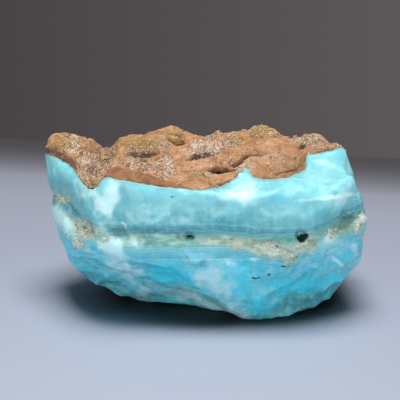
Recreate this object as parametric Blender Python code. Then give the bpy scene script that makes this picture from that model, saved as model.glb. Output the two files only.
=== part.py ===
"""A rough hand specimen of banded blue aragonite with a brown earthy rind on its top.

The stone is one grown piece, so it is one solid. It starts as an ico sphere. Each point goes out
from the middle of the stone to a rounded meeting of broken faces, then the rind's lumps, the vuggy
seam, the pits and the hummocks are raised or sunk, and the foot is cut flat where it rests.
Lengths here are in millimetres and are turned into metres when the mesh is written.
"""
import bpy
import bmesh
import numpy as np

MM = 0.001

# Stone: driving sizes
TOP_LEVEL = 52.0          # general height of the rind
SEAM_LEVEL = 34.4         # height of the vuggy seam on the front
EDGE_ROUNDING = 1.1       # softness of the edges where two broken faces meet
HEART = (0.0, 0.0, 27.0)  # the point that every ray starts from
SHIFT = (0.11, -2.26)     # moves the middle of the stone's box over the origin
FOOT_DEPTH = 1.6          # how far the lowest face lies under the ground, before the cut

# Mesh density
SPHERE_STEPS = 7
TRIANGLE_SHARE = 0.1

# The block under the ground that cuts the foot flat
GROUND_BLOCK = (160.0, 100.0, 20.0)

# Each broken face: facing (0 is +X, -90 is the front), tilt up from the level, a point on it
FACES = (
    ("front", -90, 2, (0, -27.4, 38)),
    ("front left turn", -112, 4, (-33.5, -26, 40)),
    ("left facet", -148.5, 4, (-46.4, -10, 44)),
    ("left tip", 180, -4, (-58.2, 8, 50)),
    ("left end below the seam", 186, -14, (-53.4, 2, 31)),
    ("left end low", 193, -28, (-48.5, 2, 15)),
    ("left underside", 205, -52, (-41.2, 0, 6.5)),
    ("front left underside", -113.5, -42, (13, -18.6, 1.6)),
    ("front hummock", -88, -13, (5, -28, 26)),
    ("keel front", -68, -24, (20, -18.2, 0)),
    ("keel right side", -44, -36, (38, -9, 0)),
    ("front right turn", -55, 2, (48, -20, 35)),
    ("right side above", -8, 22, (54.9, -5, 42)),
    ("right side", 0, -7, (54.8, -4, 29)),
    ("right side below", -22, -24, (56.2, -8, 15)),
    ("right underside", -14, -50, (49.6, -4, 5)),
    ("back right", 48, 9, (49, 20, 36)),
    ("back right underside", 42, -38, (46, 16, 15)),
    ("back, right half", 78, 8, (22, 29.5, 38)),
    ("back, left half", 99, -4, (-16, 29, 36)),
    ("back underside, right", 82, -36, (20, 25, 12)),
    ("back underside, left", 112, -46, (-14, 21, 14)),
    ("back left", 134, 9, (-44.5, 22.5, 40)),
    ("back left underside", 150, -38, (-41, 13, 14)),
    ("rim bevel", -86, 50, (22, -23.5, 50)),
    ("rind top", -90, 86.5, (0, 0, TOP_LEVEL)),
    ("foot", 0, -90, (0, 0, -FOOT_DEPTH)),
)

# Each swelling or hollow of the rind: middle x and y, half widths, turn, height, squareness
RIND_FORMS = (
    ("left knob", -48, 10, 10, 11, 20, 5.2, 1.4),
    ("knob, left end", -54, 10, 4.5, 8, 0, 2.2, 1.3),
    ("valley between knob and hump", -36.5, -12, 5.0, 20, -4, -3.0, 1.0),
    ("front left shoulder", -25, -19, 11, 12, 0, 3.6, 1.6),
    ("long hump", -11.5, 15, 12.8, 13, -6, 6.0, 1.5),
    ("middle swelling", 8, 20, 9, 10, 0, 0.2, 1.2),
    ("saddle", -36, 19, 4.4, 15, 0, -5.8, 1.5),
    ("dip behind the middle", -1, 24, 5, 6, 0, -1.2, 1.0),
    ("back edge", 6, 30, 14, 6, 0, -1.0, 1.4),
    ("raised block", 23.5, 22, 8.6, 8, 10, 5.0, 1.8),
    ("right back lump", 38.6, 18, 7, 9, 0, 1.6, 1.5),
    ("right end, back", 49, 12, 5, 8, 0, 1.0, 1.2),
    ("scooped hollow", 25, -6, 10.5, 11, -10, -3.2, 2.0),
    ("recess under the ledge", 7, -7, 5, 4, 35, -2.6, 1.4),
    ("right bevel", 43, -12, 11, 13, 12, -1.0, 1.6),
)

# Each shell-shaped scoop left by a broken-off flake: middle, radius, depth
SCOOPS = (
    ("under the belly, left of the keel", (-4, -13, 4), 10, 3.4),
    ("lower front, middle", (-14, -23, 17), 9, 1.3),
    ("lower front, right", (31, -24, 15), 10, 1.5),
    ("lower left corner", (-41, -14, 17), 9, 0.8),
    ("right end below the rind", (55.5, 3, 48), 11, 4.4),
    ("right end below the seam", (55, 4, 20), 9, 2.0),
    ("back, big flake", (-22, 30, 25), 14, 3.2),
    ("back, small flake", (14, 29, 44), 8, 1.8),
    ("back foot", (28, 24, 10), 10, 2.4),
    ("left back corner", (-50, 18, 30), 10, 2.4),
)

# Hummocks of the broken blue stone, and the ledges of the rind
HUMMOCK_SIZE = 10.0
HUMMOCK_HEIGHT = 1.9
LEDGE_SIZE = 15.0
LEDGE_HEIGHT = 1.25
LEDGES_PER_SWELL = 2.4

# Each pit on the front: x, height, radius, depth
FRONT_PITS = (
    ("open vug", 31.6, 33.8, 1.7, 3.2),
    ("small vug", -4.8, 33.9, 1.3, 2.2),
    ("druse pocket", 23.0, 30.6, 2.6, 1.5),
    ("right pocket", 47.5, 39.6, 2.2, 1.8),
    ("left druse pocket", -38.8, 34.8, 3.0, 1.2),
    ("bubble pit", -26.0, 22.6, 1.2, 0.8),
)

NOISE_SIZE = 24
NOISE_SEED = 7


def noise_lattice():
    """Random values between -1 and 1 on a cube of points that repeats on every side."""
    rng = np.random.RandomState(NOISE_SEED)
    return rng.uniform(-1.0, 1.0, (NOISE_SIZE, NOISE_SIZE, NOISE_SIZE))


LATTICE = noise_lattice()


def noise(points, size):
    """Smooth noise: the eight lattice values round each point, blended by a cubic step."""
    q = points / size + 101.3
    cell = np.floor(q).astype(int)
    t = q - cell
    t = t * t * (3.0 - 2.0 * t)
    total = np.zeros(len(points))
    for dx in (0, 1):
        wx = t[:, 0] if dx else 1.0 - t[:, 0]
        for dy in (0, 1):
            wy = t[:, 1] if dy else 1.0 - t[:, 1]
            for dz in (0, 1):
                wz = t[:, 2] if dz else 1.0 - t[:, 2]
                value = LATTICE[
                    (cell[:, 0] + dx) % NOISE_SIZE,
                    (cell[:, 1] + dy) % NOISE_SIZE,
                    (cell[:, 2] + dz) % NOISE_SIZE,
                ]
                total += value * wx * wy * wz
    return total


def step(low, high, value):
    """A smooth change from 0 at low to 1 at high."""
    t = np.clip((value - low) / (high - low), 0.0, 1.0)
    return t * t * (3.0 - 2.0 * t)


def face_planes():
    """Outward directions and distances of the broken faces."""
    directions = []
    offsets = []
    for _name, facing, tilt, point in FACES:
        turn = np.radians(facing)
        rise = np.radians(tilt)
        direction = np.array([np.cos(turn) * np.cos(rise), np.sin(turn) * np.cos(rise), np.sin(rise)])
        directions.append(direction)
        offsets.append(direction @ np.array(point, dtype=float))
    return np.array(directions), np.array(offsets)


def broken_body(rays):
    """Where each ray from the heart meets the rounded body of broken faces, and its outward side.

    The body is where the soft maximum of the heights over all faces is zero. The soft maximum is
    the logarithm of a sum of exponentials, and the meeting is found by halving.
    """
    directions, offsets = face_planes()
    heart = np.array(HEART)
    slope = rays @ directions.T
    start = directions @ heart - offsets
    near = np.zeros(len(rays))
    far = np.full(len(rays), 90.0)
    for _ in range(40):
        middle = 0.5 * (near + far)
        heights = (slope * middle[:, None] + start) / EDGE_ROUNDING
        outside = np.log(np.exp(np.minimum(heights, 50.0)).sum(axis=1)) > 0.0
        far = np.where(outside, middle, far)
        near = np.where(outside, near, middle)
    heights = (slope * near[:, None] + start) / EDGE_ROUNDING
    weights = np.exp(heights)
    outward = weights @ directions
    outward /= np.linalg.norm(outward, axis=1)[:, None]
    return heart + rays * near[:, None], outward


def ledges(x, y):
    """Curved ledges where the crust broke off in layers: smooth noise cut into steep steps."""
    plan = np.column_stack([x, y, np.zeros(len(x))])
    bend = np.column_stack([noise(plan, 8.0), noise(plan + 40.0, 8.0), np.zeros(len(x))])
    swell = noise(plan + 2.2 * bend, LEDGE_SIZE) * LEDGES_PER_SWELL
    layer = np.floor(swell)
    return LEDGE_HEIGHT * (layer + step(0.5, 1.0, swell - layer) + 0.25 * (swell - layer))


def rind_height(x, y):
    """Height of the rind's lumps, hollows and ledges over its general level."""
    total = ledges(x, y)
    for _name, cx, cy, half_x, half_y, turn, height, square in RIND_FORMS:
        c = np.cos(np.radians(turn))
        s = np.sin(np.radians(turn))
        along = ((x - cx) * c + (y - cy) * s) / half_x
        across = ((y - cy) * c - (x - cx) * s) / half_y
        total += height * np.exp(-((along * along + across * across) ** square) * 1.2)
    return total


def seam_height(points):
    """Height of the vuggy seam round the stone: level, and rising at the right end."""
    x = points[:, 0]
    return SEAM_LEVEL + 5.5 * step(30.0, 56.0, x) - 1.4 * step(5.0, 20.0, x) + 3.0 * step(-40.0, -56.0, x)


def seam_relief(points):
    """A shallow ragged groove along the seam, deeper at the two ends."""
    distance = points[:, 2] - seam_height(points)
    depth = 0.7 + 0.9 * step(-44.0, -54.0, points[:, 0]) + 0.5 * step(36.0, 50.0, points[:, 0])
    ragged = 0.75 + 0.6 * noise(points, 5.0)
    return -depth * ragged * np.exp(-(distance / 2.4) ** 2)


def pit_relief(points, outward):
    """Round pits on the front, each a flat-bottomed bowl."""
    total = np.zeros(len(points))
    facing_front = step(0.2, 0.5, -outward[:, 1])
    for _name, x, z, radius, depth in FRONT_PITS:
        away = np.hypot(points[:, 0] - x, points[:, 2] - z) / radius
        total -= depth * np.exp(-(away ** 3)) * facing_front
    return total


def scoop_relief(points):
    """The shell-shaped scoops, each a round hollow with a soft rim."""
    total = np.zeros(len(points))
    for _name, middle, radius, depth in SCOOPS:
        away = np.linalg.norm(points - np.array(middle, dtype=float), axis=1) / radius
        total -= depth * np.exp(-(away ** 3) * 1.2)
    return total


def hummock_relief(points, on_top):
    """Crested hummocks: folded noise, strong below the seam and faint above it."""
    below_seam = step(31.0, 20.0, points[:, 2])
    at_back = step(8.0, 24.0, points[:, 1])
    strength = (0.35 + 0.65 * np.maximum(below_seam, at_back)) * (1.0 - on_top)
    crest = 0.35 - np.abs(noise(points, HUMMOCK_SIZE))
    return strength * HUMMOCK_HEIGHT * crest


def stone_points(rays):
    """Points of the finished stone's surface along unit rays from its heart, in millimetres."""
    points, outward = broken_body(rays)
    on_top = step(36.0, 51.0, points[:, 2])
    relief = 0.7 * noise(points, 13.0) + 0.35 * noise(points, 5.0)
    relief += on_top * (0.7 * noise(points, 6.0) + 0.4 * noise(points, 3.2))
    relief += hummock_relief(points, on_top) + scoop_relief(points)
    relief += seam_relief(points) + pit_relief(points, outward)
    points = points + outward * relief[:, None]
    points[:, 2] += on_top * rind_height(points[:, 0], points[:, 1])
    points[:, 0] += SHIFT[0]
    points[:, 1] += SHIFT[1]
    return points


def stone_material():
    """Waxy pale blue."""
    material = bpy.data.materials.new("aragonite_blue")
    material.use_nodes = True
    shader = material.node_tree.nodes["Principled BSDF"]
    shader.inputs["Base Color"].default_value = (0.23, 0.58, 0.68, 1.0)
    shader.inputs["Roughness"].default_value = 0.38
    shader.inputs["Metallic"].default_value = 0.0
    return material


def make_ground(collection):
    """The cutter: a block whose top is the surface that the stone stands on."""
    bpy.ops.mesh.primitive_cube_add(size=1.0, location=(0.0, 0.0, -0.5 * GROUND_BLOCK[2] * MM))
    ground = bpy.context.object
    ground.name = "ground_cutter"
    ground.scale = [side * MM for side in GROUND_BLOCK]
    ground.hide_render = True
    ground.display_type = "WIRE"
    for old in list(ground.users_collection):
        old.objects.unlink(ground)
    collection.objects.link(ground)
    return ground


def make_stone(collection, ground):
    """The aragonite: an ico sphere shaped by the rules above, thinned, and cut flat at its foot."""
    shape = bmesh.new()
    bmesh.ops.create_icosphere(shape, subdivisions=SPHERE_STEPS, radius=1.0)
    mesh = bpy.data.meshes.new("aragonite")
    shape.to_mesh(mesh)
    shape.free()
    rays = np.empty(len(mesh.vertices) * 3)
    mesh.vertices.foreach_get("co", rays)
    rays = rays.reshape(-1, 3)
    rays /= np.linalg.norm(rays, axis=1)[:, None]
    mesh.vertices.foreach_set("co", (stone_points(rays) * MM).ravel())
    mesh.update()
    mesh.shade_smooth()
    mesh.set_sharp_from_angle(angle=np.radians(40.0))
    mesh.materials.append(stone_material())
    stone = bpy.data.objects.new("aragonite", mesh)
    collection.objects.link(stone)
    thin = stone.modifiers.new("thin", "DECIMATE")
    thin.decimate_type = "COLLAPSE"
    thin.ratio = TRIANGLE_SHARE
    foot = stone.modifiers.new("foot", "BOOLEAN")
    foot.operation = "DIFFERENCE"
    foot.solver = "EXACT"
    foot.object = ground
    return stone


def main():
    for old in list(bpy.data.objects):
        bpy.data.objects.remove(old, do_unlink=True)
    collections = []
    for name in ("aragonite_specimen", "cutters"):
        collection = bpy.data.collections.new(name)
        bpy.context.scene.collection.children.link(collection)
        collections.append(collection)
    specimen, cutters = collections
    make_stone(specimen, make_ground(cutters))


main()
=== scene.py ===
"""Looks of a rough hand specimen of banded blue aragonite with a brown earthy rind.

The stone is dressed with four pieces: the banded blue stone, the brown rind on it, the sugary grains
of the rind, and the small crystals of the seam and its vugs. Lengths in the shape rules are in
millimetres, and are turned into metres when a mesh is written.
"""

import bpy
import numpy as np
from bpy.props import FloatProperty, FloatVectorProperty, IntProperty, PointerProperty
from mathutils import Color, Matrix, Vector


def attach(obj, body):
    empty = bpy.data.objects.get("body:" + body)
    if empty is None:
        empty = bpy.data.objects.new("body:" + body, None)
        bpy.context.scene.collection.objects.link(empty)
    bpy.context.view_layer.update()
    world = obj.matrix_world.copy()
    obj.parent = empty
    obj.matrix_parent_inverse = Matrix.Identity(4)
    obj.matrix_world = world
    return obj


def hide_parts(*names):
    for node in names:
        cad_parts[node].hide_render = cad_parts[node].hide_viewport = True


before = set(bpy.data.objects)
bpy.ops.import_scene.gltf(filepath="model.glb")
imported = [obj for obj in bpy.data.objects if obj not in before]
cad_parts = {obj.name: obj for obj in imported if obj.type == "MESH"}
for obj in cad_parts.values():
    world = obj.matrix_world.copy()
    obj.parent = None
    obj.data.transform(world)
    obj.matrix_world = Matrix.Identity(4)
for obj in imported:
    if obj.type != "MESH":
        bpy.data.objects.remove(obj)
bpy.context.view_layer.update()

bl_info = {
    "name": "Blue aragonite specimen",
    "version": (1, 0, 0),
    "blender": (4, 5, 0),
    "location": "3D View > Sidebar > Aragonite",
    "description": "Makes the banded stone, its rind, its grains and crystals, and a plain stage",
    "category": "Add Mesh",
}

STONE_NODE = "aragonite"
BODY = "root"
MM = 0.001

# The stone's forms, the same as the solid's, in millimetres
TOP_LEVEL = 52.0
SEAM_LEVEL = 34.4
EDGE_ROUNDING = 1.1
HEART = (0.0, 0.0, 27.0)
BOX_HALF = (56.0, 29.0, 27.0)
RIND_HEART = (0.0, 0.0, 35.0)
SHIFT = (0.11, -2.26)
FOOT_DEPTH = 1.6

# Each broken face: facing (0 is +X, -90 is the front), tilt up from the level, a point on it
FACES = (
    ("front", -90, 2, (0, -27.4, 38)),
    ("front left turn", -112, 4, (-33.5, -26, 40)),
    ("left facet", -148.5, 4, (-46.4, -10, 44)),
    ("left tip", 180, -4, (-58.2, 8, 50)),
    ("left end below the seam", 186, -14, (-53.4, 2, 31)),
    ("left end low", 193, -28, (-48.5, 2, 15)),
    ("left underside", 205, -52, (-41.2, 0, 6.5)),
    ("front left underside", -113.5, -42, (13, -18.6, 1.6)),
    ("front hummock", -88, -13, (5, -28, 26)),
    ("keel front", -68, -24, (20, -18.2, 0)),
    ("keel right side", -44, -36, (38, -9, 0)),
    ("front right turn", -55, 2, (48, -20, 35)),
    ("right side above", -8, 22, (54.9, -5, 42)),
    ("right side", 0, -7, (54.8, -4, 29)),
    ("right side below", -22, -24, (56.2, -8, 15)),
    ("right underside", -14, -50, (49.6, -4, 5)),
    ("back right", 48, 9, (49, 20, 36)),
    ("back right underside", 42, -38, (46, 16, 15)),
    ("back, right half", 78, 8, (22, 29.5, 38)),
    ("back, left half", 99, -4, (-16, 29, 36)),
    ("back underside, right", 82, -36, (20, 25, 12)),
    ("back underside, left", 112, -46, (-14, 21, 14)),
    ("back left", 134, 9, (-44.5, 22.5, 40)),
    ("back left underside", 150, -38, (-41, 13, 14)),
    ("rim bevel", -86, 50, (22, -23.5, 50)),
    ("rind top", -90, 86.5, (0, 0, TOP_LEVEL)),
    ("foot", 0, -90, (0, 0, -FOOT_DEPTH)),
)

# Each swelling or hollow of the rind: middle x and y, half widths, turn, height, squareness
RIND_FORMS = (
    ("left knob", -48, 10, 10, 11, 20, 5.2, 1.4),
    ("knob, left end", -54, 10, 4.5, 8, 0, 2.2, 1.3),
    ("valley between knob and hump", -36.5, -12, 5.0, 20, -4, -3.0, 1.0),
    ("front left shoulder", -25, -19, 11, 12, 0, 3.6, 1.6),
    ("long hump", -11.5, 15, 12.8, 13, -6, 6.0, 1.5),
    ("middle swelling", 8, 20, 9, 10, 0, 0.2, 1.2),
    ("saddle", -36, 19, 4.4, 15, 0, -5.8, 1.5),
    ("dip behind the middle", -1, 24, 5, 6, 0, -1.2, 1.0),
    ("back edge", 6, 30, 14, 6, 0, -1.0, 1.4),
    ("raised block", 23.5, 22, 8.6, 8, 10, 5.0, 1.8),
    ("right back lump", 38.6, 18, 7, 9, 0, 1.6, 1.5),
    ("right end, back", 49, 12, 5, 8, 0, 1.0, 1.2),
    ("scooped hollow", 25, -6, 10.5, 11, -10, -3.2, 2.0),
    ("recess under the ledge", 7, -7, 5, 4, 35, -2.6, 1.4),
    ("right bevel", 43, -12, 11, 13, 12, -1.0, 1.6),
)

# Each shell-shaped scoop left by a broken-off flake: middle, radius, depth
SCOOPS = (
    ("under the belly, left of the keel", (-4, -13, 4), 10, 3.4),
    ("lower front, middle", (-14, -23, 17), 9, 1.3),
    ("lower front, right", (31, -24, 15), 10, 1.5),
    ("lower left corner", (-41, -14, 17), 9, 0.8),
    ("right end below the rind", (55.5, 3, 48), 11, 4.4),
    ("right end below the seam", (55, 4, 20), 9, 2.0),
    ("back, big flake", (-22, 30, 25), 14, 3.2),
    ("back, small flake", (14, 29, 44), 8, 1.8),
    ("back foot", (28, 24, 10), 10, 2.4),
    ("left back corner", (-50, 18, 30), 10, 2.4),
)

HUMMOCK_SIZE = 10.0
HUMMOCK_HEIGHT = 1.9
LEDGE_SIZE = 15.0
LEDGE_HEIGHT = 1.25
LEDGES_PER_SWELL = 2.4

# Each pit on the front: x, height, radius, depth
FRONT_PITS = (
    ("open vug", 31.6, 33.8, 1.7, 3.2),
    ("small vug", -4.8, 33.9, 1.3, 2.2),
    ("druse pocket", 23.0, 30.6, 2.6, 1.5),
    ("right pocket", 47.5, 39.6, 2.2, 1.8),
    ("left druse pocket", -38.8, 34.8, 3.0, 1.2),
    ("bubble pit", -26.0, 22.6, 1.2, 0.8),
)

# Grid lines along x, y and z of each surface, and how far those along y gather at the front
BLUE_GRID = (231, 82, 97)
BLUE_GATHER = 0.35
RIND_GRID = (331, 171, 141)
RIND_GATHER = 0.2
RIND_LOW_ROW = 108

NOISE_SIZE = 24
NOISE_SEED = 7
GRAIN_SEED = 11
CRYSTAL_SEED = 23

# Shifts that keep the noise and the scattered cells clear of their lattice's corner
NOISE_SHIFT = 101.3
CELL_SHIFT = 57.7

# The rind's lower edge as the front view shows it: across and up, from the middle of the view
RIND_LINE = (
    (-59.5, 18.5), (-54.6, 16.4), (-52.5, 15.7), (-49.7, 14.5), (-47.2, 13.2), (-45.5, 12.2),
    (-44.1, 10.8), (-42.7, 8.2), (-40.9, 5.8), (-39.2, 4.0), (-37.4, 3.7), (-35.7, 4.5), (-34.6, 6.5),
    (-33.6, 7.9), (-31.5, 8.3), (-28.7, 7.2), (-25.2, 6.6), (-21.0, 6.0), (-17.5, 5.6), (-15.0, 5.1),
    (-12.2, 4.7), (-9.4, 4.4), (-6.3, 4.1), (-3.5, 3.7), (0.0, 3.7), (2.4, 4.0), (5.2, 4.3),
    (6.6, 4.7), (8.0, 5.4), (9.8, 6.2), (11.5, 7.3), (12.9, 8.2), (13.5, 10.0), (14.7, 10.3),
    (15.4, 11.4), (17.1, 10.9), (17.8, 9.3), (18.5, 8.1), (20.3, 7.6), (23.4, 7.4), (26.2, 7.3),
    (29.0, 7.7), (31.5, 8.1), (33.6, 9.0), (35.3, 10.0), (36.7, 10.7), (37.3, 11.9), (37.4, 15.6),
    (37.8, 16.4), (39.9, 16.5), (42.0, 16.7), (44.4, 17.1), (47.2, 17.9), (49.7, 18.7), (51.1, 19.8),
    (56.0, 21.3),
)

# The upper edge of the cut face that shows under the rim, seen the same way
SECTION_LINE = (
    (-59.5, 19.9), (-54.6, 18.9), (-51.1, 17.8), (-47.2, 15.8), (-43.7, 13.8), (-43.0, 9.8),
    (-42.0, 4.9), (-35.7, 3.5), (-33.6, 8.2), (-32.5, 10.5), (-30.8, 11.4), (-28.0, 11.2),
    (-24.5, 10.5), (-21.0, 9.8), (-17.8, 8.9), (-15.0, 7.8), (-12.2, 7.0), (-9.4, 6.2), (-6.6, 5.0),
    (-4.5, 4.4), (-2.8, 3.5), (4.9, 3.5),
)

# Height of the rind's lower edge at the back
BACK_EDGE = 50.6

# How the camera stood: height angle, distance and picture angle, and what it looked at
CAMERA_RISE = 18.0
CAMERA_DISTANCE = 360.0
CAMERA_ANGLE = 22.0
CAMERA_AIM = (-1.4, 0.0, 37.46)
SENSOR_WIDTH = 36.0


def noise_lattice():
    """Random values between -1 and 1 on a cube of points that repeats on every side."""
    rng = np.random.RandomState(NOISE_SEED)
    return rng.uniform(-1.0, 1.0, (NOISE_SIZE, NOISE_SIZE, NOISE_SIZE))


LATTICE = noise_lattice()

# A turn that takes noise off the stone's own directions
TURN = np.array([(0.80, 0.36, -0.48), (0.0, 0.8, 0.6), (0.6, -0.48, 0.64)])


def noise(points, size):
    """Smooth noise: the eight lattice values round each point, blended by a cubic step."""
    q = points / size + NOISE_SHIFT
    cell = np.floor(q).astype(int)
    t = q - cell
    t = t * t * (3.0 - 2.0 * t)
    total = np.zeros(len(points))
    for dx in (0, 1):
        wx = t[:, 0] if dx else 1.0 - t[:, 0]
        for dy in (0, 1):
            wy = t[:, 1] if dy else 1.0 - t[:, 1]
            for dz in (0, 1):
                wz = t[:, 2] if dz else 1.0 - t[:, 2]
                value = LATTICE[
                    (cell[:, 0] + dx) % NOISE_SIZE,
                    (cell[:, 1] + dy) % NOISE_SIZE,
                    (cell[:, 2] + dz) % NOISE_SIZE,
                ]
                total += value * wx * wy * wz
    return total


def grain_cells(points, size):
    """Distance to the nearest of the scattered grain middles, one in each cell of a lattice."""
    q = points / size + CELL_SHIFT
    cell = np.floor(q).astype(int)
    nearest = np.full(len(points), 9.0)
    for dx in (-1, 0, 1):
        for dy in (-1, 0, 1):
            for dz in (-1, 0, 1):
                other = cell + np.array([dx, dy, dz])
                spot = np.empty_like(q)
                for axis in range(3):
                    turned = np.roll(other, axis, axis=1) % NOISE_SIZE
                    spot[:, axis] = LATTICE[turned[:, 0], turned[:, 1], turned[:, 2]]
                away = np.linalg.norm(other + 0.5 + 0.45 * spot - q, axis=1)
                nearest = np.minimum(nearest, away)
    return nearest


def step(low, high, value):
    """A smooth change from 0 at low to 1 at high."""
    t = np.clip((value - low) / (high - low), 0.0, 1.0)
    return t * t * (3.0 - 2.0 * t)


def face_planes():
    """Outward directions and distances of the broken faces."""
    directions = []
    offsets = []
    for _name, facing, tilt, point in FACES:
        turn = np.radians(facing)
        rise = np.radians(tilt)
        direction = np.array([np.cos(turn) * np.cos(rise), np.sin(turn) * np.cos(rise), np.sin(rise)])
        directions.append(direction)
        offsets.append(direction @ np.array(point, dtype=float))
    return np.array(directions), np.array(offsets)


def broken_body(rays):
    """Where each ray from the heart meets the rounded body of broken faces, and its outward side.

    The body is where the soft maximum of the heights over all faces is zero. The soft maximum is
    the logarithm of a sum of exponentials, and the meeting is found by halving.
    """
    directions, offsets = face_planes()
    heart = np.array(HEART)
    slope = rays @ directions.T
    start = directions @ heart - offsets
    near = np.zeros(len(rays))
    far = np.full(len(rays), 90.0)
    for _ in range(32):
        middle = 0.5 * (near + far)
        heights = (slope * middle[:, None] + start) / EDGE_ROUNDING
        outside = np.exp(np.minimum(heights, 50.0)).sum(axis=1) > 1.0
        far = np.where(outside, middle, far)
        near = np.where(outside, near, middle)
    heights = (slope * near[:, None] + start) / EDGE_ROUNDING
    weights = np.exp(heights)
    outward = weights @ directions
    outward /= np.linalg.norm(outward, axis=1)[:, None]
    return heart + rays * near[:, None], outward


def ledges(x, y):
    """Curved ledges where the crust broke off in layers: smooth noise cut into steep steps."""
    plan = np.column_stack([x, y, np.zeros(len(x))])
    bend = np.column_stack([noise(plan, 8.0), noise(plan + 40.0, 8.0), np.zeros(len(x))])
    swell = noise(plan + 2.2 * bend, LEDGE_SIZE) * LEDGES_PER_SWELL
    layer = np.floor(swell)
    return LEDGE_HEIGHT * (layer + step(0.5, 1.0, swell - layer) + 0.25 * (swell - layer))


def small_ledges(points):
    """Thin broken sheets of the crust: bent noise cut into low steep steps."""
    plan = points * (1.0, 1.0, 0.3)
    bend = np.column_stack([noise(plan + 17.0 * k, 3.0) for k in (1, 2, 3)])
    swell = 2.2 * noise(plan + 1.1 * bend, 6.5)
    layer = np.floor(swell)
    return layer + step(0.62, 1.0, swell - layer)


def rind_height(x, y):
    """Height of the rind's lumps, hollows and ledges over its general level."""
    total = ledges(x, y)
    for _name, cx, cy, half_x, half_y, turn, height, square in RIND_FORMS:
        c = np.cos(np.radians(turn))
        s = np.sin(np.radians(turn))
        along = ((x - cx) * c + (y - cy) * s) / half_x
        across = ((y - cy) * c - (x - cx) * s) / half_y
        total += height * np.exp(-((along * along + across * across) ** square) * 1.2)
    return total


def seam_height(points):
    """Height of the vuggy seam round the stone: level, and rising at the right end."""
    x = points[:, 0]
    return SEAM_LEVEL + 5.5 * step(30.0, 56.0, x) - 1.4 * step(5.0, 20.0, x) + 3.0 * step(-40.0, -56.0, x)


def seam_relief(points):
    """A shallow ragged groove along the seam, deeper at the two ends."""
    distance = points[:, 2] - seam_height(points)
    depth = 0.7 + 0.9 * step(-44.0, -54.0, points[:, 0]) + 0.5 * step(36.0, 50.0, points[:, 0])
    ragged = 0.75 + 0.6 * noise(points, 5.0)
    return -depth * ragged * np.exp(-(distance / 2.4) ** 2)


def pit_relief(points, outward):
    """Round pits on the front, each a flat-bottomed bowl."""
    total = np.zeros(len(points))
    facing_front = step(0.2, 0.5, -outward[:, 1])
    for _name, x, z, radius, depth in FRONT_PITS:
        away = np.hypot(points[:, 0] - x, points[:, 2] - z) / radius
        total -= depth * np.exp(-(away ** 3)) * facing_front
    return total


def scoop_relief(points):
    """The shell-shaped scoops, each a round hollow with a soft rim."""
    total = np.zeros(len(points))
    for _name, middle, radius, depth in SCOOPS:
        away = np.linalg.norm(points - np.array(middle, dtype=float), axis=1) / radius
        total -= depth * np.exp(-(away ** 3) * 1.2)
    return total


def hummock_relief(points, on_top):
    """Crested hummocks: folded noise, strong below the seam and faint above it."""
    below_seam = step(31.0, 20.0, points[:, 2])
    at_back = step(8.0, 24.0, points[:, 1])
    strength = (0.35 + 0.65 * np.maximum(below_seam, at_back)) * (1.0 - on_top)
    crest = 0.35 - np.abs(noise(points, HUMMOCK_SIZE))
    return strength * HUMMOCK_HEIGHT * crest


def stone_form(rays):
    """The solid's own surface along unit rays: points, outward sides, and how far each is the top."""
    points, outward = broken_body(rays)
    on_top = step(36.0, 51.0, points[:, 2])
    relief = 0.7 * noise(points, 13.0) + 0.35 * noise(points, 5.0)
    relief += on_top * (0.7 * noise(points, 6.0) + 0.4 * noise(points, 3.2))
    relief += hummock_relief(points, on_top) + scoop_relief(points)
    relief += seam_relief(points) + pit_relief(points, outward)
    points = points + outward * relief[:, None]
    points[:, 2] += on_top * rind_height(points[:, 0], points[:, 1])
    return points, outward, on_top


def front_view(points):
    """Across and up of points as a viewer at the camera's place sees them, in millimetres at its aim."""
    rise = np.radians(CAMERA_RISE)
    back = np.array([0.0, -np.cos(rise), np.sin(rise)])
    up = np.array([0.0, np.sin(rise), np.cos(rise)])
    away = points - (np.array(CAMERA_AIM) + back * CAMERA_DISTANCE)
    scale = CAMERA_DISTANCE / -(away @ back)
    return away[:, 0] * scale, (away @ up) * scale


def faces_front(outward, low=-0.12, high=0.1):
    """1 where a surface faces the front viewer, 0 where it is turned away."""
    rise = np.radians(CAMERA_RISE)
    return step(low, high, np.sin(rise) * outward[:, 2] - np.cos(rise) * outward[:, 1])


def over_line(across, up, line):
    """Distance to a line of points, in millimetres: over it is positive, under it negative."""
    line = np.array(line)
    start = line[:-1]
    reach = line[1:] - start
    nearest = np.full(len(across), 99.0)
    for begin, span in zip(start, reach):
        part = ((across - begin[0]) * span[0] + (up - begin[1]) * span[1]) / (span @ span)
        part = np.clip(part, 0.0, 1.0)
        gap = np.hypot(across - begin[0] - part * span[0], up - begin[1] - part * span[1])
        nearest = np.minimum(nearest, gap)
    return np.where(up > np.interp(across, line[:, 0], line[:, 1]), nearest, -nearest)


def rind_reach(points, outward):
    """How far inside the rind a point is, in millimetres, with a ragged edge."""
    across, up = front_view(points)
    flat = np.maximum(outward[:, 2], 0.0)
    front = over_line(across, up, RIND_LINE) * (1.0 + 1.5 * flat)
    saddle = 10.0 * np.exp(-((points[:, 0] + 36.0) / 9.0) ** 2)
    back = points[:, 2] - BACK_EDGE + saddle - 1.8 * noise(points * (1.0, 1.0, 0.3), 9.0)
    seen = faces_front(outward)
    wander = 0.28 * noise(points, 2.6) + 0.2 * noise(points, 1.2)
    return front * seen + back * (1.0 - seen) + wander * (1.0 + flat) + 0.6 * wander * (1.0 - seen)


def cut_face(points, outward):
    """1 on the smooth cut face between the rind's rim and its lower edge at the front."""
    across, up = front_view(points)
    under = over_line(across, up + 0.15 * noise(points, 3.0), SECTION_LINE)
    return step(0.3, -0.25, under) * faces_front(outward)


def scallops(points, size):
    """Shell-shaped chips that meet in crests: the squared distance to scattered middles."""
    bend = np.column_stack([noise(points + 17.0 * k, size * 1.3) for k in (1, 2, 3)])
    return grain_cells(points + 0.28 * size * bend, size) ** 2


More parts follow.
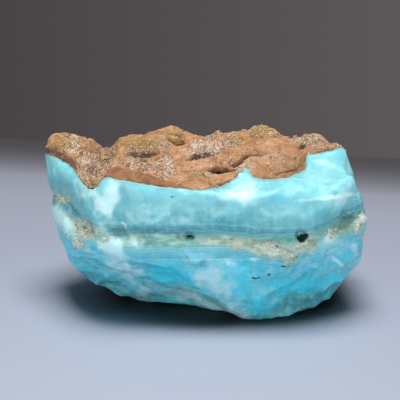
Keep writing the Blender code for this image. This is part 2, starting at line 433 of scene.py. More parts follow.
def box_patches(lines, low_row=0):
    """Rays through a fine grid on the six sides of a box, welded along its edges.

    lines holds the grid lines along x, y and z, from -1 to 1. Rows of z below low_row are left out,
    with the bottom, and the rays come back with their quads.
    """
    z_lines = lines[2][low_row:]
    all_points = []
    all_quads = []
    count = 0
    for axis in range(3):
        for side in (-1, 1):
            if axis == 2 and side == -1 and low_row > 0:
                continue
            first, second = [(1, 2), (2, 0), (0, 1)][axis]
            spans = [lines[0], lines[1], z_lines]
            a, b = np.meshgrid(spans[first], spans[second], indexing="ij")
            points = np.empty((a.size, 3))
            points[:, axis] = side
            points[:, first] = a.ravel()
            points[:, second] = b.ravel()
            index = np.arange(a.size).reshape(a.shape) + count
            quads = np.stack([index[:-1, :-1], index[1:, :-1], index[1:, 1:], index[:-1, 1:]], -1)
            quads = quads.reshape(-1, 4)
            all_quads.append(quads if side > 0 else quads[:, ::-1])
            all_points.append(points)
            count += a.size
    points = np.concatenate(all_points)
    quads = np.concatenate(all_quads)
    _keys, first_of, welded = np.unique(
        np.round(points * 1e6).astype(np.int64), axis=0, return_index=True, return_inverse=True
    )
    points = points[first_of] * BOX_HALF
    return points / np.linalg.norm(points, axis=1)[:, None], welded.ravel()[quads]


def grid_lines(counts, gather):
    """Grid lines from -1 to 1 along x, y and z; those along y are gathered at -1, the front."""
    t = np.linspace(0.0, 1.0, counts[1])
    gathered = 2.0 * (t * (1.0 - gather) + gather * t * t) - 1.0
    return np.linspace(-1, 1, counts[0]), gathered, np.linspace(-1, 1, counts[2])


def hollowness(points, faces, rounds):
    """How deep each point lies in a hollow, in millimetres: its smoothed surroundings minus itself."""
    edges = np.concatenate([faces[:, [0, 1]], faces[:, [1, 2]], faces[:, [2, 3]], faces[:, [3, 0]]])
    edges = np.concatenate([edges, edges[:, ::-1]])
    count = np.bincount(edges[:, 0], minlength=len(points))[:, None]
    smooth = points.copy()
    for _ in range(rounds):
        sums = [
            np.bincount(edges[:, 0], weights=smooth[edges[:, 1], k], minlength=len(points))
            for k in range(3)
        ]
        total = np.column_stack(sums)
        smooth = 0.5 * smooth + 0.5 * total / np.maximum(count, 1)
    return ((smooth - points) * vertex_sides(points, faces)).sum(axis=1)


def vertex_sides(points, faces):
    """Outward unit direction at each point, from the faces round it."""
    first = points[faces[:, 2]] - points[faces[:, 0]]
    second = points[faces[:, 3]] - points[faces[:, 1]]
    across = np.cross(first, second)
    total = np.zeros_like(points)
    for corner in range(4):
        for k in range(3):
            total[:, k] += np.bincount(faces[:, corner], weights=across[:, k], minlength=len(points))
    return total / np.maximum(np.linalg.norm(total, axis=1)[:, None], 1e-9)


def stone_pieces():
    """The collection that holds the stone's pieces."""
    held = bpy.data.collections.get("stone_pieces")
    if held is None:
        held = bpy.data.collections.new("stone_pieces")
        bpy.context.scene.collection.children.link(held)
    return held


def make_piece(name, points, face_lists, values, material):
    """A mesh piece at the origin from points in millimetres, with named values at its points.

    face_lists holds arrays of faces, each array with one number of corners.
    """
    mesh = bpy.data.meshes.new(name)
    mesh.vertices.add(len(points))
    mesh.vertices.foreach_set("co", (points * MM).astype(np.float32).ravel())
    corners = np.concatenate([faces.ravel() for faces in face_lists]).astype(np.int32)
    sizes = np.concatenate([np.full(len(faces), faces.shape[1]) for faces in face_lists])
    mesh.loops.add(len(corners))
    mesh.loops.foreach_set("vertex_index", corners)
    mesh.polygons.add(len(sizes))
    mesh.polygons.foreach_set("loop_start", (np.cumsum(sizes) - sizes).astype(np.int32))
    mesh.update(calc_edges=True)
    mesh.validate()
    for key, value in values.items():
        layer = mesh.attributes.new(key, "FLOAT", "POINT")
        layer.data.foreach_set("value", np.asarray(value, dtype=np.float32))
    mesh.materials.append(material)
    piece = bpy.data.objects.new(name, mesh)
    stone_pieces().objects.link(piece)
    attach(piece, BODY)
    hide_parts(STONE_NODE)
    return piece


# Marks of the blue stone as the front view shows them, by kind. Each has its name, its place across
# and up, half width, half height, turn in degrees and strength. Milk is a white cloud, and on the bevel,
# the left corner and the broken top also a painted highlight; deep is vivid blue; teal is a dark
# greenish tint, and on the left facet and the upper right painted shade; tan and green are the earthy
# seam; shade is painted shade in a dark green hollow; frost is white druse; glint is a painted
# highlight; and dark is painted shade in a hole, or a dark speck.
STONE_MARKS = {
    "milk": (
        # The corner lobes: white cloud with a painted highlight
        ("corner, upper lobe", -30.3, 2.4, 2.0, 4.4, -8, 1.3),
        ("corner, lower lobe", -34.4, -1.6, 4.8, 1.7, -54, 1.6),
        ("under the tip", -34.0, 3.0, 1.6, 1.6, 0, 0.4),
        ("sparkling patch", -18.9, -2.4, 2.8, 1.75, 0, 0.35),
        ("upper middle, faint", 3.8, -4.5, 2.45, 1.75, 0, 0.25),
        ("pale beside the left druse", -34.3, -9.4, 2.1, 2.1, 0, 0.55),
        ("grey beside the left druse", -36.4, -8.0, 1.4, 2.1, 0, 0.4),
        ("below the corner", -31.2, -16.6, 3.6, 2.2, -40, 1.2),
        ("below the corner, right", -22.8, -14.6, 3.0, 1.6, -25, 0.7),
        ("lower left streak", -29.0, -21.4, 8.0, 2.6, -48, 1.35),
        ("low left patch", -18.6, -31.2, 3.0, 1.2, 25, 0.8),
        ("low middle patch", -7.0, -33.0, 5.4, 1.7, -8, 0.85),
        ("low middle patch, right", -1.7, -34.3, 3.15, 1.75, -15, 0.6),
        ("big cloud", 4.8, -27.8, 5.0, 2.6, -14, 0.9),
        ("big cloud, upper arm", 2.4, -25.0, 2.8, 1.2, 35, 0.6),
        ("big cloud, right arm", 9.6, -27.6, 2.8, 1.1, -30, 0.5),
        ("big cloud, bright top", 5.6, -24.1, 2.1, 1.75, 0, 0.9),
        ("big cloud, bright left", -0.3, -27.3, 1.05, 1.05, 0, 0.7),
        ("big cloud, foot", 4.2, -31.5, 3.15, 1.4, 0, 0.4),
        ("keel, left flank", 4.5, -37.4, 4.9, 1.4, -20, 0.55),
        ("keel", 12.6, -39.2, 4.9, 2.45, -15, 0.8),
        ("right of the keel, faint", 22.0, -32.2, 2.8, 1.4, 0, 0.4),
        ("right streak", 39.5, -22.7, 2.8, 0.7, 10, 0.5),
        ("right edge, low", 54.2, -16.4, 0.87, 2.45, 0, 0.5),
        ("right belly, faint", 44.1, -24.8, 4.2, 1.05, 8, 0.35),
        # The bevel and broken-top marks: painted highlight where the top faces the lights, over white
        # cloud
        ("bright bevel", 16.4, -0.6, 6.65, 2.3, -14, 0.45),
        ("bright bevel, upper", 14.0, 2.9, 5.2, 2.4, 4, 0.6),
        ("below the notch", 16.4, 6.3, 2.8, 2.1, 0, 0.35),
        ("right of the notch", 22.7, 4.2, 3.15, 2.1, -20, 0.15),
        ("broken top", 42.3, 8.4, 5.2, 2.8, 8, 0.4),
        ("broken top, back", 44.1, 12.6, 5.6, 2.1, 10, 0.15),
        ("right bevel", 51.1, 5.9, 1.75, 4.2, -20, 0.25),
        ("right, under the bevel", 48.5, 0.4, 4.8, 2.2, 5, 0.55),
        ("right, pale under the pocket", 45.4, -15.8, 5.2, 3.2, -10, 0.5),
        ("pale line", 46.4, 1.2, 9.8, 0.5, 7, 0.8),
        ("upper right, broad", 31.5, -4.2, 5.6, 1.4, 10, 0.3),
        ("under the seam, middle", 1.7, -17.1, 4.2, 0.87, 0, 0.45),
        ("left end, upper", -49.2, -5.8, 2.2, 4.0, 8, 1.0),
        ("left end, lower", -45.6, -8.6, 1.6, 3.2, 15, 1.0),
        ("left facet edge", -40.6, 1.4, 1.05, 3.15, 30, 0.35),
        ("left facet, pale", -42.5, 4.2, 1.6, 3.4, 35, 0.25),
    ),
    "deep": (
        ("left, under the druse", -37.1, -17.5, 3.15, 2.27, -20, 0.75),
        ("left belly", -24.1, -29.0, 3.2, 2.0, -30, 1.0),
        ("middle left", -11.6, -26.0, 5.6, 2.9, -6, 1.3),
        ("middle left, low", -14.0, -31.8, 3.15, 1.4, 0, 0.6),
        ("beside the cloud, left", -3.8, -27.3, 1.75, 2.1, 0, 0.7),
        ("beside the cloud, right", 13.4, -29.4, 3.6, 3.4, -20, 1.2),
        ("above the cloud, right", 12.6, -22.7, 4.9, 1.4, 0, 0.5),
        ("low middle", 20.6, -36.4, 4.2, 2.3, 0, 1.3),
        ("middle right", 28.3, -30.8, 3.15, 1.75, 0, 0.7),
        ("right", 35.7, -29.2, 8.4, 2.2, 7, 1.2),
        ("right edge", 50.0, -26.9, 3.5, 1.4, 15, 0.7),
        ("right, under the pocket", 41.3, -17.5, 2.8, 2.45, 0, 0.35),
        ("upper right", 28.0, 1.4, 5.9, 2.8, 10, 0.35),
        ("far left", -49.0, -11.2, 0.87, 2.45, -15, 0.5),
    ),
    "teal": (
        ("right, dark", 35.0, -28.0, 3.0, 1.6, 10, 0.4),
        # Painted shade on the upper right
        ("upper right, shade", 27.6, 2.4, 5.6, 2.6, 12, 0.5),
        ("bloom", -1.0, -22.7, 2.1, 1.12, 0, 1.0),
        # Painted shade of the left facet
        ("left facet", -49.0, 5.6, 4.4, 5.2, 0, 0.6),
        ("left facet, lower", -43.4, -1.0, 2.1, 2.45, 40, 0.45),
        ("upper left, low", -23.4, -5.9, 5.25, 1.4, -5, 0.35),
        ("dark line over the seam, left", -16.5, -10.9, 14.0, 0.7, -2, 1.3),
        ("dark line over the seam, start", -28.0, -11.3, 2.8, 1.3, 0, 0.9),
        ("spot, low right", 31.5, -35.7, 1.75, 1.05, 0, 0.8),
        ("low right shade", 28.3, -38.5, 3.5, 1.4, 10, 0.5),
        ("keel tip", 18.9, -41.3, 2.45, 1.05, 0, 0.9),
        ("low right rim", 36.4, -35.6, 6.2, 2.2, 22, 1.3),
        ("left low rim", -37.8, -26.2, 4.2, 1.22, -42, 0.3),
    ),
    "tan": (
        ("left end", -49.3, 1.4, 2.1, 1.4, -20, 0.8),
        ("left groove", -46.2, 0.0, 1.75, 1.05, -40, 0.8),
        ("left druse", -40.2, -11.4, 3.2, 3.6, 0, 1.4),
        ("left druse, top", -41.3, -8.4, 1.4, 1.75, 0, 0.6),
        ("left tan spot", -33.6, -13.5, 2.1, 0.91, 0, 0.9),
        ("tan line right of the vug", 1.7, -14.3, 4.9, 0.63, -4, 0.7),
        ("tan strip, middle", 11.2, -15.4, 6.3, 1.6, -6, 0.85),
        ("pinkish strip, middle", 15.7, -14.0, 4.2, 0.87, 0, 0.5),
        ("tan streak", 19.2, -17.5, 4.55, 1.75, -12, 0.75),
        ("druse pocket", 27.6, -17.8, 4.2, 3.0, -20, 1.15),
        ("druse pocket, foot", 31.1, -20.3, 2.45, 2.1, 0, 0.6),
        ("vug rim, right", 38.9, -14.5, 1.6, 2.8, 10, 1.2),
        ("vug rim, below", 36.0, -16.8, 3.2, 1.5, 20, 1.0),
        ("right pocket", 49.3, -10.1, 4.2, 1.57, 12, 0.9),
        ("right pocket, end", 56.0, -11.2, 1.57, 2.1, 0, 0.7),
    ),
    "green": (
        ("green under the seam, left", -14.0, -14.6, 10.5, 2.1, 0, 0.8),
        ("green under the small vug", -7.7, -16.1, 2.1, 2.1, 20, 0.5),
        ("green of the vug rim", 39.5, -16.1, 1.75, 2.1, 0, 0.4),
        ("right pocket, green", 51.0, -8.8, 4.6, 2.3, 12, 1.3),
        ("green foot of the keel", 11.5, -34.6, 2.1, 1.05, 0, 0.45),
        ("green at the right bottom", 35.0, -35.0, 4.2, 1.4, 20, 0.7),
    ),
    "shade": (
        # Painted shade in hollows, grooves and pockets
        ("green shade of the right pocket", 52.0, -6.8, 2.8, 1.4, 22, 1.7),
        ("left groove, dark side", -44.2, -3.0, 4.6, 0.55, -50, 1.0),
        ("right pocket, dim side", 49.6, -8.8, 4.6, 1.8, 14, 0.4),
        ("vug, shade to the right", 38.6, -13.4, 0.9, 1.6, 10, 0.5),
        ("small vug, shade", -4.2, -13.4, 2.6, 0.9, 4, 0.8),
        ("under the seam, left, shade", -24.0, -12.6, 5.0, 0.8, -6, 0.6),
        ("left druse, shade", -37.9, -10.8, 0.7, 3.4, 22, 0.8),
    ),
    "frost": (
        ("druse, left", -41.6, -11.5, 0.87, 1.4, 0, 0.9),
        ("druse, left low", -43.0, -15.0, 1.05, 1.4, 0, 1.0),
        ("druse, middle", 26.9, -17.8, 1.4, 1.05, 0, 1.0),
        ("druse, middle upper left", 24.3, -15.7, 1.22, 1.05, 0, 0.9),
        ("druse, right end", 55.4, -8.0, 1.3, 1.8, -35, 1.3),
        ("druse beside the right pocket", 45.5, -11.9, 1.4, 1.4, 0, 0.6),
        ("specks by the tan spot", -33.6, -13.6, 1.05, 0.52, 0, 0.6),
    ),
    "glint": (
        # Painted highlights: bright spots and sparkles
        ("upright glint", -10.8, -4.5, 0.3, 0.9, 0, 0.6),
        ("glint over the seam", -26.0, -9.6, 0.35, 0.55, 20, 0.6),
        ("bubble glint", -25.2, -23.4, 1.1, 0.7, -40, 0.6),
        ("glint below the bubble", -22.4, -26.4, 1.3, 0.6, -30, 0.5),
        ("diagonal glint", 47.9, -21.3, 2.6, 0.45, -35, 0.8),
        ("bright crystal spot", 45.1, -12.9, 1.4, 1.75, 0, 0.9),
        ("corner, bright streak", -34.0, -2.2, 3.2, 1.1, -54, 0.75),
        ("corner, bright top", -30.6, 0.6, 1.3, 2.6, -12, 0.7),
        ("ripple glint", -26.8, -8.2, 0.9, 0.35, -30, 0.9),
        ("sparkle, left of the middle", -19.6, -1.8, 0.6, 0.28, 20, 0.7),
        ("sparkle, left of the middle, right", -17.4, -1.6, 0.35, 0.3, 0, 0.8),
        ("sparkle, left of the middle, low", -18.6, -3.9, 0.9, 0.25, 0, 0.6),
        ("white streak in the druse", 18.9, -20.6, 2.1, 0.45, 0, 0.8),
    ),
    "dark": (
        # Painted shade inside the vugs and the right pocket; the rest are dark specks
        ("open vug", 35.6, -13.5, 1.4, 1.15, 10, 1.5),
        ("open vug, upper right", 36.9, -12.7, 1.0, 0.8, 25, 1.5),
        ("small vug", -3.5, -12.8, 1.2, 0.5, 0, 1.2),
        ("small vug, tail", -6.6, -12.6, 2.1, 0.25, 3, 0.55),
        ("speck, left", -29.7, -13.5, 0.55, 0.4, 0, 0.55),
        ("speck under the rind", -9.8, 1.2, 0.63, 0.42, 0, 0.7),
        ("second speck under the rind", -18.7, 3.5, 0.49, 0.31, 0, 0.6),
        ("speck in the tan line", 10.8, -13.8, 0.84, 0.31, 0, 0.8),
        ("pit in the druse", 26.9, -16.3, 0.63, 0.7, 0, 0.8),
        ("row of specks", 19.6, -26.9, 1.82, 0.31, 0, 1.1),
        ("speck by the row", 24.1, -26.2, 0.56, 0.31, 0, 1.1),
        ("specks under the druse", 29.4, -23.1, 1.57, 0.28, 0, 0.8),
        ("bubble pit", -26.2, -24.3, 0.7, 0.25, -35, 0.5),
        ("speck at the left end", -46.9, -12.2, 0.45, 0.42, 0, 0.45),
        ("second speck at the left end", -46.2, -17.5, 0.35, 0.5, 0, 0.4),
        ("right pocket", 52.2, -6.0, 0.9, 0.5, 0, 0.45),
    ),
}

# Marks of the rind, listed the same way. Sugar is granular crust, clay is smooth earth, olive is
# weathered, pale is a washed greenish white, crumb is a dark crack and painted shadow in recesses and
# under ledges, and umber is a dark red-brown cut and, in the valley, the dish and the right end,
# painted shade.
RIND_MARKS = {
    "sugar": (
        ("knob, grains", -44.1, 17.8, 3.5, 2.45, -20, 1.1),
        ("knob, top", -46.2, 21.7, 3.5, 1.4, 0, 0.5),
        ("valley, grains", -37.8, 10.1, 4.2, 5.25, 0, 1.3),
        ("valley, upper grains", -33.9, 15.7, 2.8, 2.1, 20, 0.9),
        ("crest, sugar", -17.5, 19.2, 7.7, 1.75, 10, 0.8),
        ("shoulder, grains", -21.3, 12.9, 5.6, 2.45, -10, 1.1),
        ("grain band", -12.2, 11.9, 2.8, 4.9, -15, 1.2),
        ("white crust, middle", 1.7, 18.2, 6.3, 2.1, 5, 1.2),
        ("front lobe, grains", 0.0, 8.7, 3.85, 1.4, -10, 0.8),
        ("back lump", 11.9, 21.0, 4.2, 2.1, 0, 0.9),
        ("block, top", 22.4, 24.1, 4.55, 1.4, 0, 0.8),
        ("right back, grains", 39.2, 20.6, 3.5, 2.1, 0, 0.9),
    ),
    "clay": (
        ("smooth patch by the knob", -37.8, 18.5, 2.45, 2.1, -15, 1.2),
        ("shoulder, smooth", -15.7, 15.4, 3.5, 1.75, 0, 0.6),
        ("clay, middle", -3.5, 12.9, 4.9, 2.8, -10, 1.1),
        ("clay, middle back", -7.0, 17.5, 3.15, 1.4, 0, 0.6),
        ("front lobe, clay", -1.7, 5.6, 6.3, 1.4, 0, 1.0),
        ("front lobe, right clay", 7.7, 7.3, 3.5, 2.1, 20, 1.0),
        ("back lump, clay front", 9.8, 17.1, 2.8, 1.75, 0, 0.6),
        ("block, front clay", 22.7, 19.6, 7.0, 2.1, 0, 1.0),
        ("dish, clay", 28.0, 13.3, 9.8, 4.55, 5, 1.3),
    ),
    "olive": (
        ("knob, olive side", -48.6, 19.4, 2.8, 2.1, 0, 1.1),
        ("crest, olive left", -26.0, 20.3, 3.6, 2.4, 20, 1.0),
        ("crest, olive hollow", -19.6, 20.3, 2.6, 2.0, 0, 1.3),
        ("crest, olive top", -12.2, 23.1, 7.0, 2.2, -8, 1.1),
        ("crest, dark hollow", -8.4, 21.3, 2.8, 1.4, -10, 1.5),
        ("front lobe, olive specks", -0.7, 8.4, 2.8, 1.4, 0, 0.5),
        ("back lump, olive", 14.0, 21.7, 3.15, 1.75, 0, 0.7),
        ("block, olive", 21.7, 24.1, 3.15, 1.4, 0, 1.0),
    ),
    "pale": (
        ("washed patch", -40.6, 14.0, 2.45, 1.4, -10, 1.2),
        ("right back, pale", 33.9, 20.6, 2.1, 0.91, 10, 0.8),
        ("right back, grey crust", 39.5, 21.0, 2.8, 1.75, 0, 1.0),
        ("recess, pale rim", 16.1, 12.2, 1.75, 0.87, 0, 1.0),
        ("recess, pale strip", 14.0, 10.5, 1.05, 1.75, 0, 0.7),
    ),
    "rust": (
        ("valley, rusty side", -35.0, 7.0, 1.4, 2.8, 0, 0.6),
        ("shoulder, rusty", -30.8, 11.9, 2.8, 2.45, 0, 0.5),
        ("rusty top, middle", -2.8, 20.6, 3.15, 1.75, -10, 0.8),
        ("dish, rust", 21.7, 10.5, 4.9, 1.75, 0, 0.4),
        ("right back, rust", 35.0, 17.5, 2.8, 1.75, 0, 0.7),
        ("right end, rust", 47.2, 18.9, 3.5, 1.05, 8, 0.8),
    ),
    "white": (
        ("knob, white grains", -44.8, 17.8, 2.1, 2.1, -20, 0.7),
        ("grain band, white", -11.2, 10.5, 1.75, 3.5, -10, 0.6),
        ("white crust, shade", 1.7, 18.2, 5.6, 1.75, 5, 1.0),
    ),
    "pink": (
        ("dish, pink", 25.2, 15.4, 5.6, 2.1, 0, 0.7),
        ("clay, middle, pale", -1.0, 12.8, 5.0, 2.4, -8, 0.8),
    ),
    "crumb": (
        # Dark cracks, and painted shadow in recesses, hollows and under ledges
        ("valley, specks", -38.8, 11.2, 1.75, 1.05, 0, 0.8),
        ("valley, specks low", -37.8, 5.2, 1.75, 1.75, 0, 0.8),
        ("crest, dark hollow's shade", -8.0, 21.0, 2.4, 0.8, -10, 1.3),
        ("crack in the hump", -19.9, 16.4, 5.0, 0.7, -4, 1.6),
        ("white crust, specks", 2.4, 17.1, 2.45, 0.87, 10, 0.8),
        ("dish, smear", 29.4, 11.0, 3.2, 0.38, 12, 0.9),
        ("dish, second smear", 32.9, 12.2, 2.1, 0.38, 25, 0.7),
        ("right back, crack", 35.7, 19.1, 1.3, 0.4, 28, 1.3),
        ("right edge, specks", 44.1, 17.4, 3.85, 0.38, 8, 1.1),
        ("recess, shade", 7.0, 10.5, 4.4, 0.85, 4, 1.6),
        ("ledge, shade", 14.6, 14.6, 3.8, 0.55, 28, 1.1),
        ("ledge, shade right", 20.4, 16.3, 3.8, 0.38, 4, 0.9),
        ("ledge of the white crust", 1.0, 15.7, 4.2, 0.6, 8, 1.4),
    ),
    "umber": (
        # Dark red-brown on the knob's cut; painted shade in the valley, on the tip's sides, the dish and
        # the right end
        ("knob, dark cut", -50.4, 16.4, 4.2, 1.92, -25, 1.1),
        ("knob, dark cut, right", -44.4, 12.6, 2.45, 1.57, -45, 1.0),
        ("tip, dark sides", -38.5, 4.5, 3.5, 1.22, 0, 0.7),
        ("cut face, far right", -7.7, 4.5, 4.9, 0.63, -5, 0.35),
        ("valley, shade", -38.2, 6.0, 3.4, 4.6, 0, 0.75),
        ("dish, dull", 27.0, 12.5, 9.0, 5.0, 0, 0.18),
        ("right end, dull", 34.0, 15.5, 7.0, 5.0, 0, 0.3),
    ),
}

# Steps of the rind's crust, listed the same way: strength is the drop or rise in millimetres
RIND_RELIEF = {
    "low": (
        ("dish floor", 27.3, 12.2, 10.15, 3.85, 5, 1.2),
        ("strip under the white crust", 0.3, 14.0, 5.25, 1.4, -8, 0.8),
        ("recess under the ledge", 7.7, 10.1, 4.55, 1.19, 8, 2.2),
        ("strip under the crack", -19.9, 14.7, 4.9, 1.4, -4, 1.1),
        ("olive hollow", -8.4, 21.0, 2.8, 1.26, -10, 1.8),
        ("right back gap", 35.7, 18.5, 1.75, 0.8, 24, 0.5),
    ),
    "high": (
        ("slab by the knob", -37.4, 18.9, 2.8, 1.92, -10, 0.8),
        ("white crust", 1.7, 18.2, 5.95, 1.75, 4, 0.6),
        ("front lobe", 0.0, 8.7, 4.2, 1.57, -8, 0.5),
        ("grain band", -12.2, 12.2, 2.8, 4.2, -15, 0.4),
        ("block", 23.1, 23.8, 5.25, 1.75, 0, 0.7),
        ("right back crust", 39.9, 20.6, 3.5, 1.75, 0, 0.6),
    ),
}

# The stone's layers: height over the seam in millimetres, and colour as seen, 0 to 255
LAYERS = (
    (-36, (84, 170, 180)),
    (-24, (86, 178, 192)),
    (-14.5, (86, 192, 212)),
    (-10.6, (74, 188, 212)),
    (-9.4, (90, 192, 213)),
    (-6.4, (98, 195, 215)),
    (-4.2, (138, 210, 217)),
    (-2.8, (138, 200, 200)),
    (-1.4, (108, 168, 158)),
    (0.2, (98, 172, 170)),
    (1.4, (84, 172, 182)),
    (2.8, (96, 180, 190)),
    (5.5, (86, 173, 187)),
    (9.5, (102, 188, 200)),
    (13.0, (112, 190, 202)),
    (20.0, (122, 204, 216)),
)
LAYER_LOW = -36.0
LAYER_HIGH = 20.0

# Shades laid over the layers and the rind, as seen, 0 to 255
SHADES = {
    "dark band": (54, 128, 144),
    "pale band": (176, 226, 230),
    "pale fibre": (170, 224, 228),
    "haze": (146, 214, 214),
    "pale mottle": (160, 212, 222),
    "seam shade": (66, 128, 118),
    "low milk": (178, 222, 232),
    "green shade": (46, 96, 88),
    "frost": (226, 238, 230),
    # A painted highlight
    "glint": (222, 248, 250),
    # Pale crests with a painted highlight, and painted shadow by the rind with darker hollows
    "pale crest and highlight": (196, 236, 244),
    "hollow blue": (44, 160, 190),
    "rind shadow and dark hollows": (98, 150, 144),
    # Painted shade in holes
    "hole": (14, 38, 32),
    "dull clay": (128, 86, 56),
    "pale clay": (206, 166, 132),
    "crust gaps": (84, 54, 34),
    "washed crust": (190, 196, 172),
    "rust": (186, 118, 74),
    "pink clay": (208, 166, 138),
    "white crust": (226, 214, 200),
    "light cut": (144, 92, 58),
    # Dark red-brown, and painted shade
    "umber": (64, 42, 32),
    # Dark cracks and painted shadow
    "crumb": (44, 26, 17),
    "pepper": (104, 68, 44),
    "salt": (228, 194, 160),
    "rind speck": (58, 36, 24),
    "hollow earth": (92, 56, 32),
    "worn earth": (226, 192, 158),
    "crack": (62, 36, 20),
    "grain dust": (150, 112, 76),
    "olive grain": (168, 138, 74),
    # A painted contact shadow
    "painted contact shadow": (30, 24, 26),
}

# Rows of shades by position from 0 to 1: the rind's crust, its grains, the seam's crystals, the table
# from its near side to its far edge, and the room from left to right
CRUST_SHADES = (
    (0.0, (112, 78, 50)),
    (0.18, (152, 118, 82)),
    (0.45, (178, 148, 108)),
    (0.7, (196, 168, 138)),
    (0.9, (226, 206, 190)),
)
GRAIN_SHADES = (
    (0.0, (52, 33, 22)),
    (0.14, (104, 74, 48)),
    (0.32, (152, 120, 82)),
    (0.55, (178, 148, 112)),
    (0.78, (206, 180, 156)),
    (1.0, (236, 220, 208)),
)
CRYSTAL_SHADES = (
    (0.0, (92, 112, 92)),
    (0.25, (140, 156, 132)),
    (0.55, (176, 188, 164)),
    (0.8, (208, 222, 208)),
    (1.0, (240, 248, 242)),
)
# The table darker towards its far edge: a painted fall-off of the light
TABLE_SHADES = (
    (0.0, (172, 182, 199)),
    (0.6, (152, 159, 176)),
    (0.85, (148, 154, 170)),
    (0.93, (140, 144, 158)),
    (1.0, (70, 68, 72)),
)
ROOM_SHADES = ((0.3, (74, 69, 71)), (0.7, (93, 88, 89)))

BLUE_IOR = 1.55

# Corners of the table in metres, how its far edge leans, and how near the stone the painted contact shadow
# darkens it
TABLE_CORNERS = ((-0.8, -0.8, 0), (0.8, -0.8, 0), (0.8, 0.05, 0), (-0.8, 0.36, 0))
TABLE_LEAN = 0.192
CONTACT_REACH = 0.022

# Each light: name, place, width and height in metres, power in watts, colour, and whether it shines
# on the stone alone
LIGHT_AIM = (0.0, 0.0, 0.03)
WHITE = (1.0, 1.0, 1.0)
LIGHTS = (
    ("overhead", (0.02, -0.06, 0.80), (0.38, 0.38), 8.2, (1.0, 0.99, 0.98), False),
    ("low_front", (0.0, -0.9, 0.08), (1.1, 0.3), 6.6, WHITE, True),
    ("low_right", (0.9, 0.1, 0.16), (1.0, 0.5), 2.0, WHITE, True),
    ("low_left", (-0.9, 0.0, 0.16), (1.0, 0.5), 2.4, WHITE, True),
    ("low_back", (-0.2, 0.9, 0.2), (1.0, 0.3), 2.5, WHITE, True),
)


def linear(color):
    """A colour given as seen, 0 to 255, turned into light."""
    return tuple((channel / 255.0) ** 2.2 for channel in color) + (1.0,)


def painted(marks, view, wander, outer=1.75, inner=0.45, tear=(0.0, 0.0)):
    """Sum of soft-edged turned ellipses, whose outlines wander bends.

    tear shifts the places by noise, in full for a wide mark and less for a narrow one.
    """
    total = np.zeros(len(wander))
    for _name, x, z, half_x, half_z, turn, strength in marks:
        c = np.cos(np.radians(turn))
        s = np.sin(np.radians(turn))
        loose = min(1.0, min(half_x, half_z) / 2.0)
        side = view[0] + loose * tear[0] - x
        rise = view[1] + loose * tear[1] - z
        along = (side * c + rise * s) / half_x
        over = (rise * c - side * s) / half_z
        total += strength * step(outer, inner, np.hypot(along, over) + wander)
    return total


def tearing(points):
    """Shifts across and up, by noise, that tear the outlines of the marks."""
    turned = points @ TURN
    across = 1.5 * noise(turned, 5.0) + 0.9 * noise(turned, 2.1)
    up = 1.5 * noise(turned + 50.0, 5.0) + 0.9 * noise(turned + 50.0, 2.1)
    return across, up


def stone_values(points, outward, layer):
    """What the blue stone's colours read: marks at the front, and clouds and earth by noise behind."""
    view = front_view(points)
    front = faces_front(outward, 0.0, 0.28)
    wander = 0.35 * noise(points @ TURN, 3.0) + 0.25 * noise(points @ TURN, 1.3)
    values = {"layer": layer + 0.5 * noise(points * (0.35, 0.35, 1.0), 6.0)}
    tear = tearing(points)
    for kind in ("milk", "deep", "teal", "tan", "green", "shade"):
        values[kind] = front * painted(STONE_MARKS[kind], view, wander, 2.2, 0.0, tear)
    values["frost"] = front * painted(STONE_MARKS["frost"], view, wander, 2.2, 0.2, tear)
    values["glint"] = front * painted(STONE_MARKS["glint"], view, wander, 2.4, 0.0)
    values["dark"] = front * painted(STONE_MARKS["dark"], view, 0.6 * wander, 1.35, 0.8)
    behind = 1.0 - front
    clouds = step(0.2, 0.75, noise(points + 60.0, 12.0) + 0.45 * noise(points, 5.0))
    values["milk"] += clouds * (0.12 + 0.75 * behind)
    values["deep"] += behind * step(-3.0, -8.0, layer) * step(0.0, 0.6, noise(points + 33.0, 11.0))
    values["tan"] += behind * np.exp(-((layer + 1.2) / 1.5) ** 2) * step(-0.3, 0.4, noise(points, 7.0))
    values["green"] += 0.5 * np.exp(-((layer + 2.2) / 1.8) ** 2)
    return values


def broken_texture(points, layer, earthy):
    """Fine height of the blue stone, in millimetres.

    It is shell-shaped chips of two sizes, strong below the seam, faint upright waves above it, gaps
    along the seam, and small lumps where the stone is earthy.
    """
    below = step(-3.0, -8.0, layer)
    at_seam = np.exp(-((layer + 1.0) / 1.8) ** 2)
    fine = 0.12 * noise(points, 2.4) + 0.05 * noise(points, 1.2)
    fine += (0.15 + 1.15 * below) * (scallops(points, 7.5) - 0.25)
    fine += (0.05 + 0.35 * below) * (scallops(points + 9.0, 3.6) - 0.25)
    fine += 0.14 * (1.0 - below) * noise(points * (1.0, 1.0, 0.2), 3.4)
    fine -= 0.4 * at_seam * step(0.05, 0.6, noise(points * (0.7, 0.7, 1.0), 1.7))
    fine += 0.5 * step(0.3, 0.9, earthy) * (0.35 - grain_cells(points, 1.3))
    return fine


def blue_stone_shape():
    """The whole stone on a welded box grid: the solid's form, with finer broken texture.

    Under the rind the surface sinks up to 2 mm inwards, and further in up to 6 mm down as well, so
    that the rind's own piece covers it.
    """
    rays, faces = box_patches(grid_lines(BLUE_GRID, BLUE_GATHER))
    points, outward, _on_top = stone_form(rays)
    reach = rind_reach(points, outward)
    layer = points[:, 2] - seam_height(points)
    values = stone_values(points, outward, layer)
    fine = broken_texture(points, layer, np.maximum(values["tan"], values["frost"]))
    fine -= 0.7 * step(-0.1, 0.9, reach) + 1.3 * step(0.8, 3.5, reach)
    points = points + outward * fine[:, None]
    points[:, 2] -= 2.5 * step(0.8, 3.5, reach) + 3.5 * step(3.5, 8.0, reach)
    points[:, 2] = np.maximum(points[:, 2], 0.0)
    points = points + np.array([*SHIFT, 0.0])
    values["reach"] = reach
    values["hollow"] = hollowness(points, faces, 6)
    return points, [faces], values


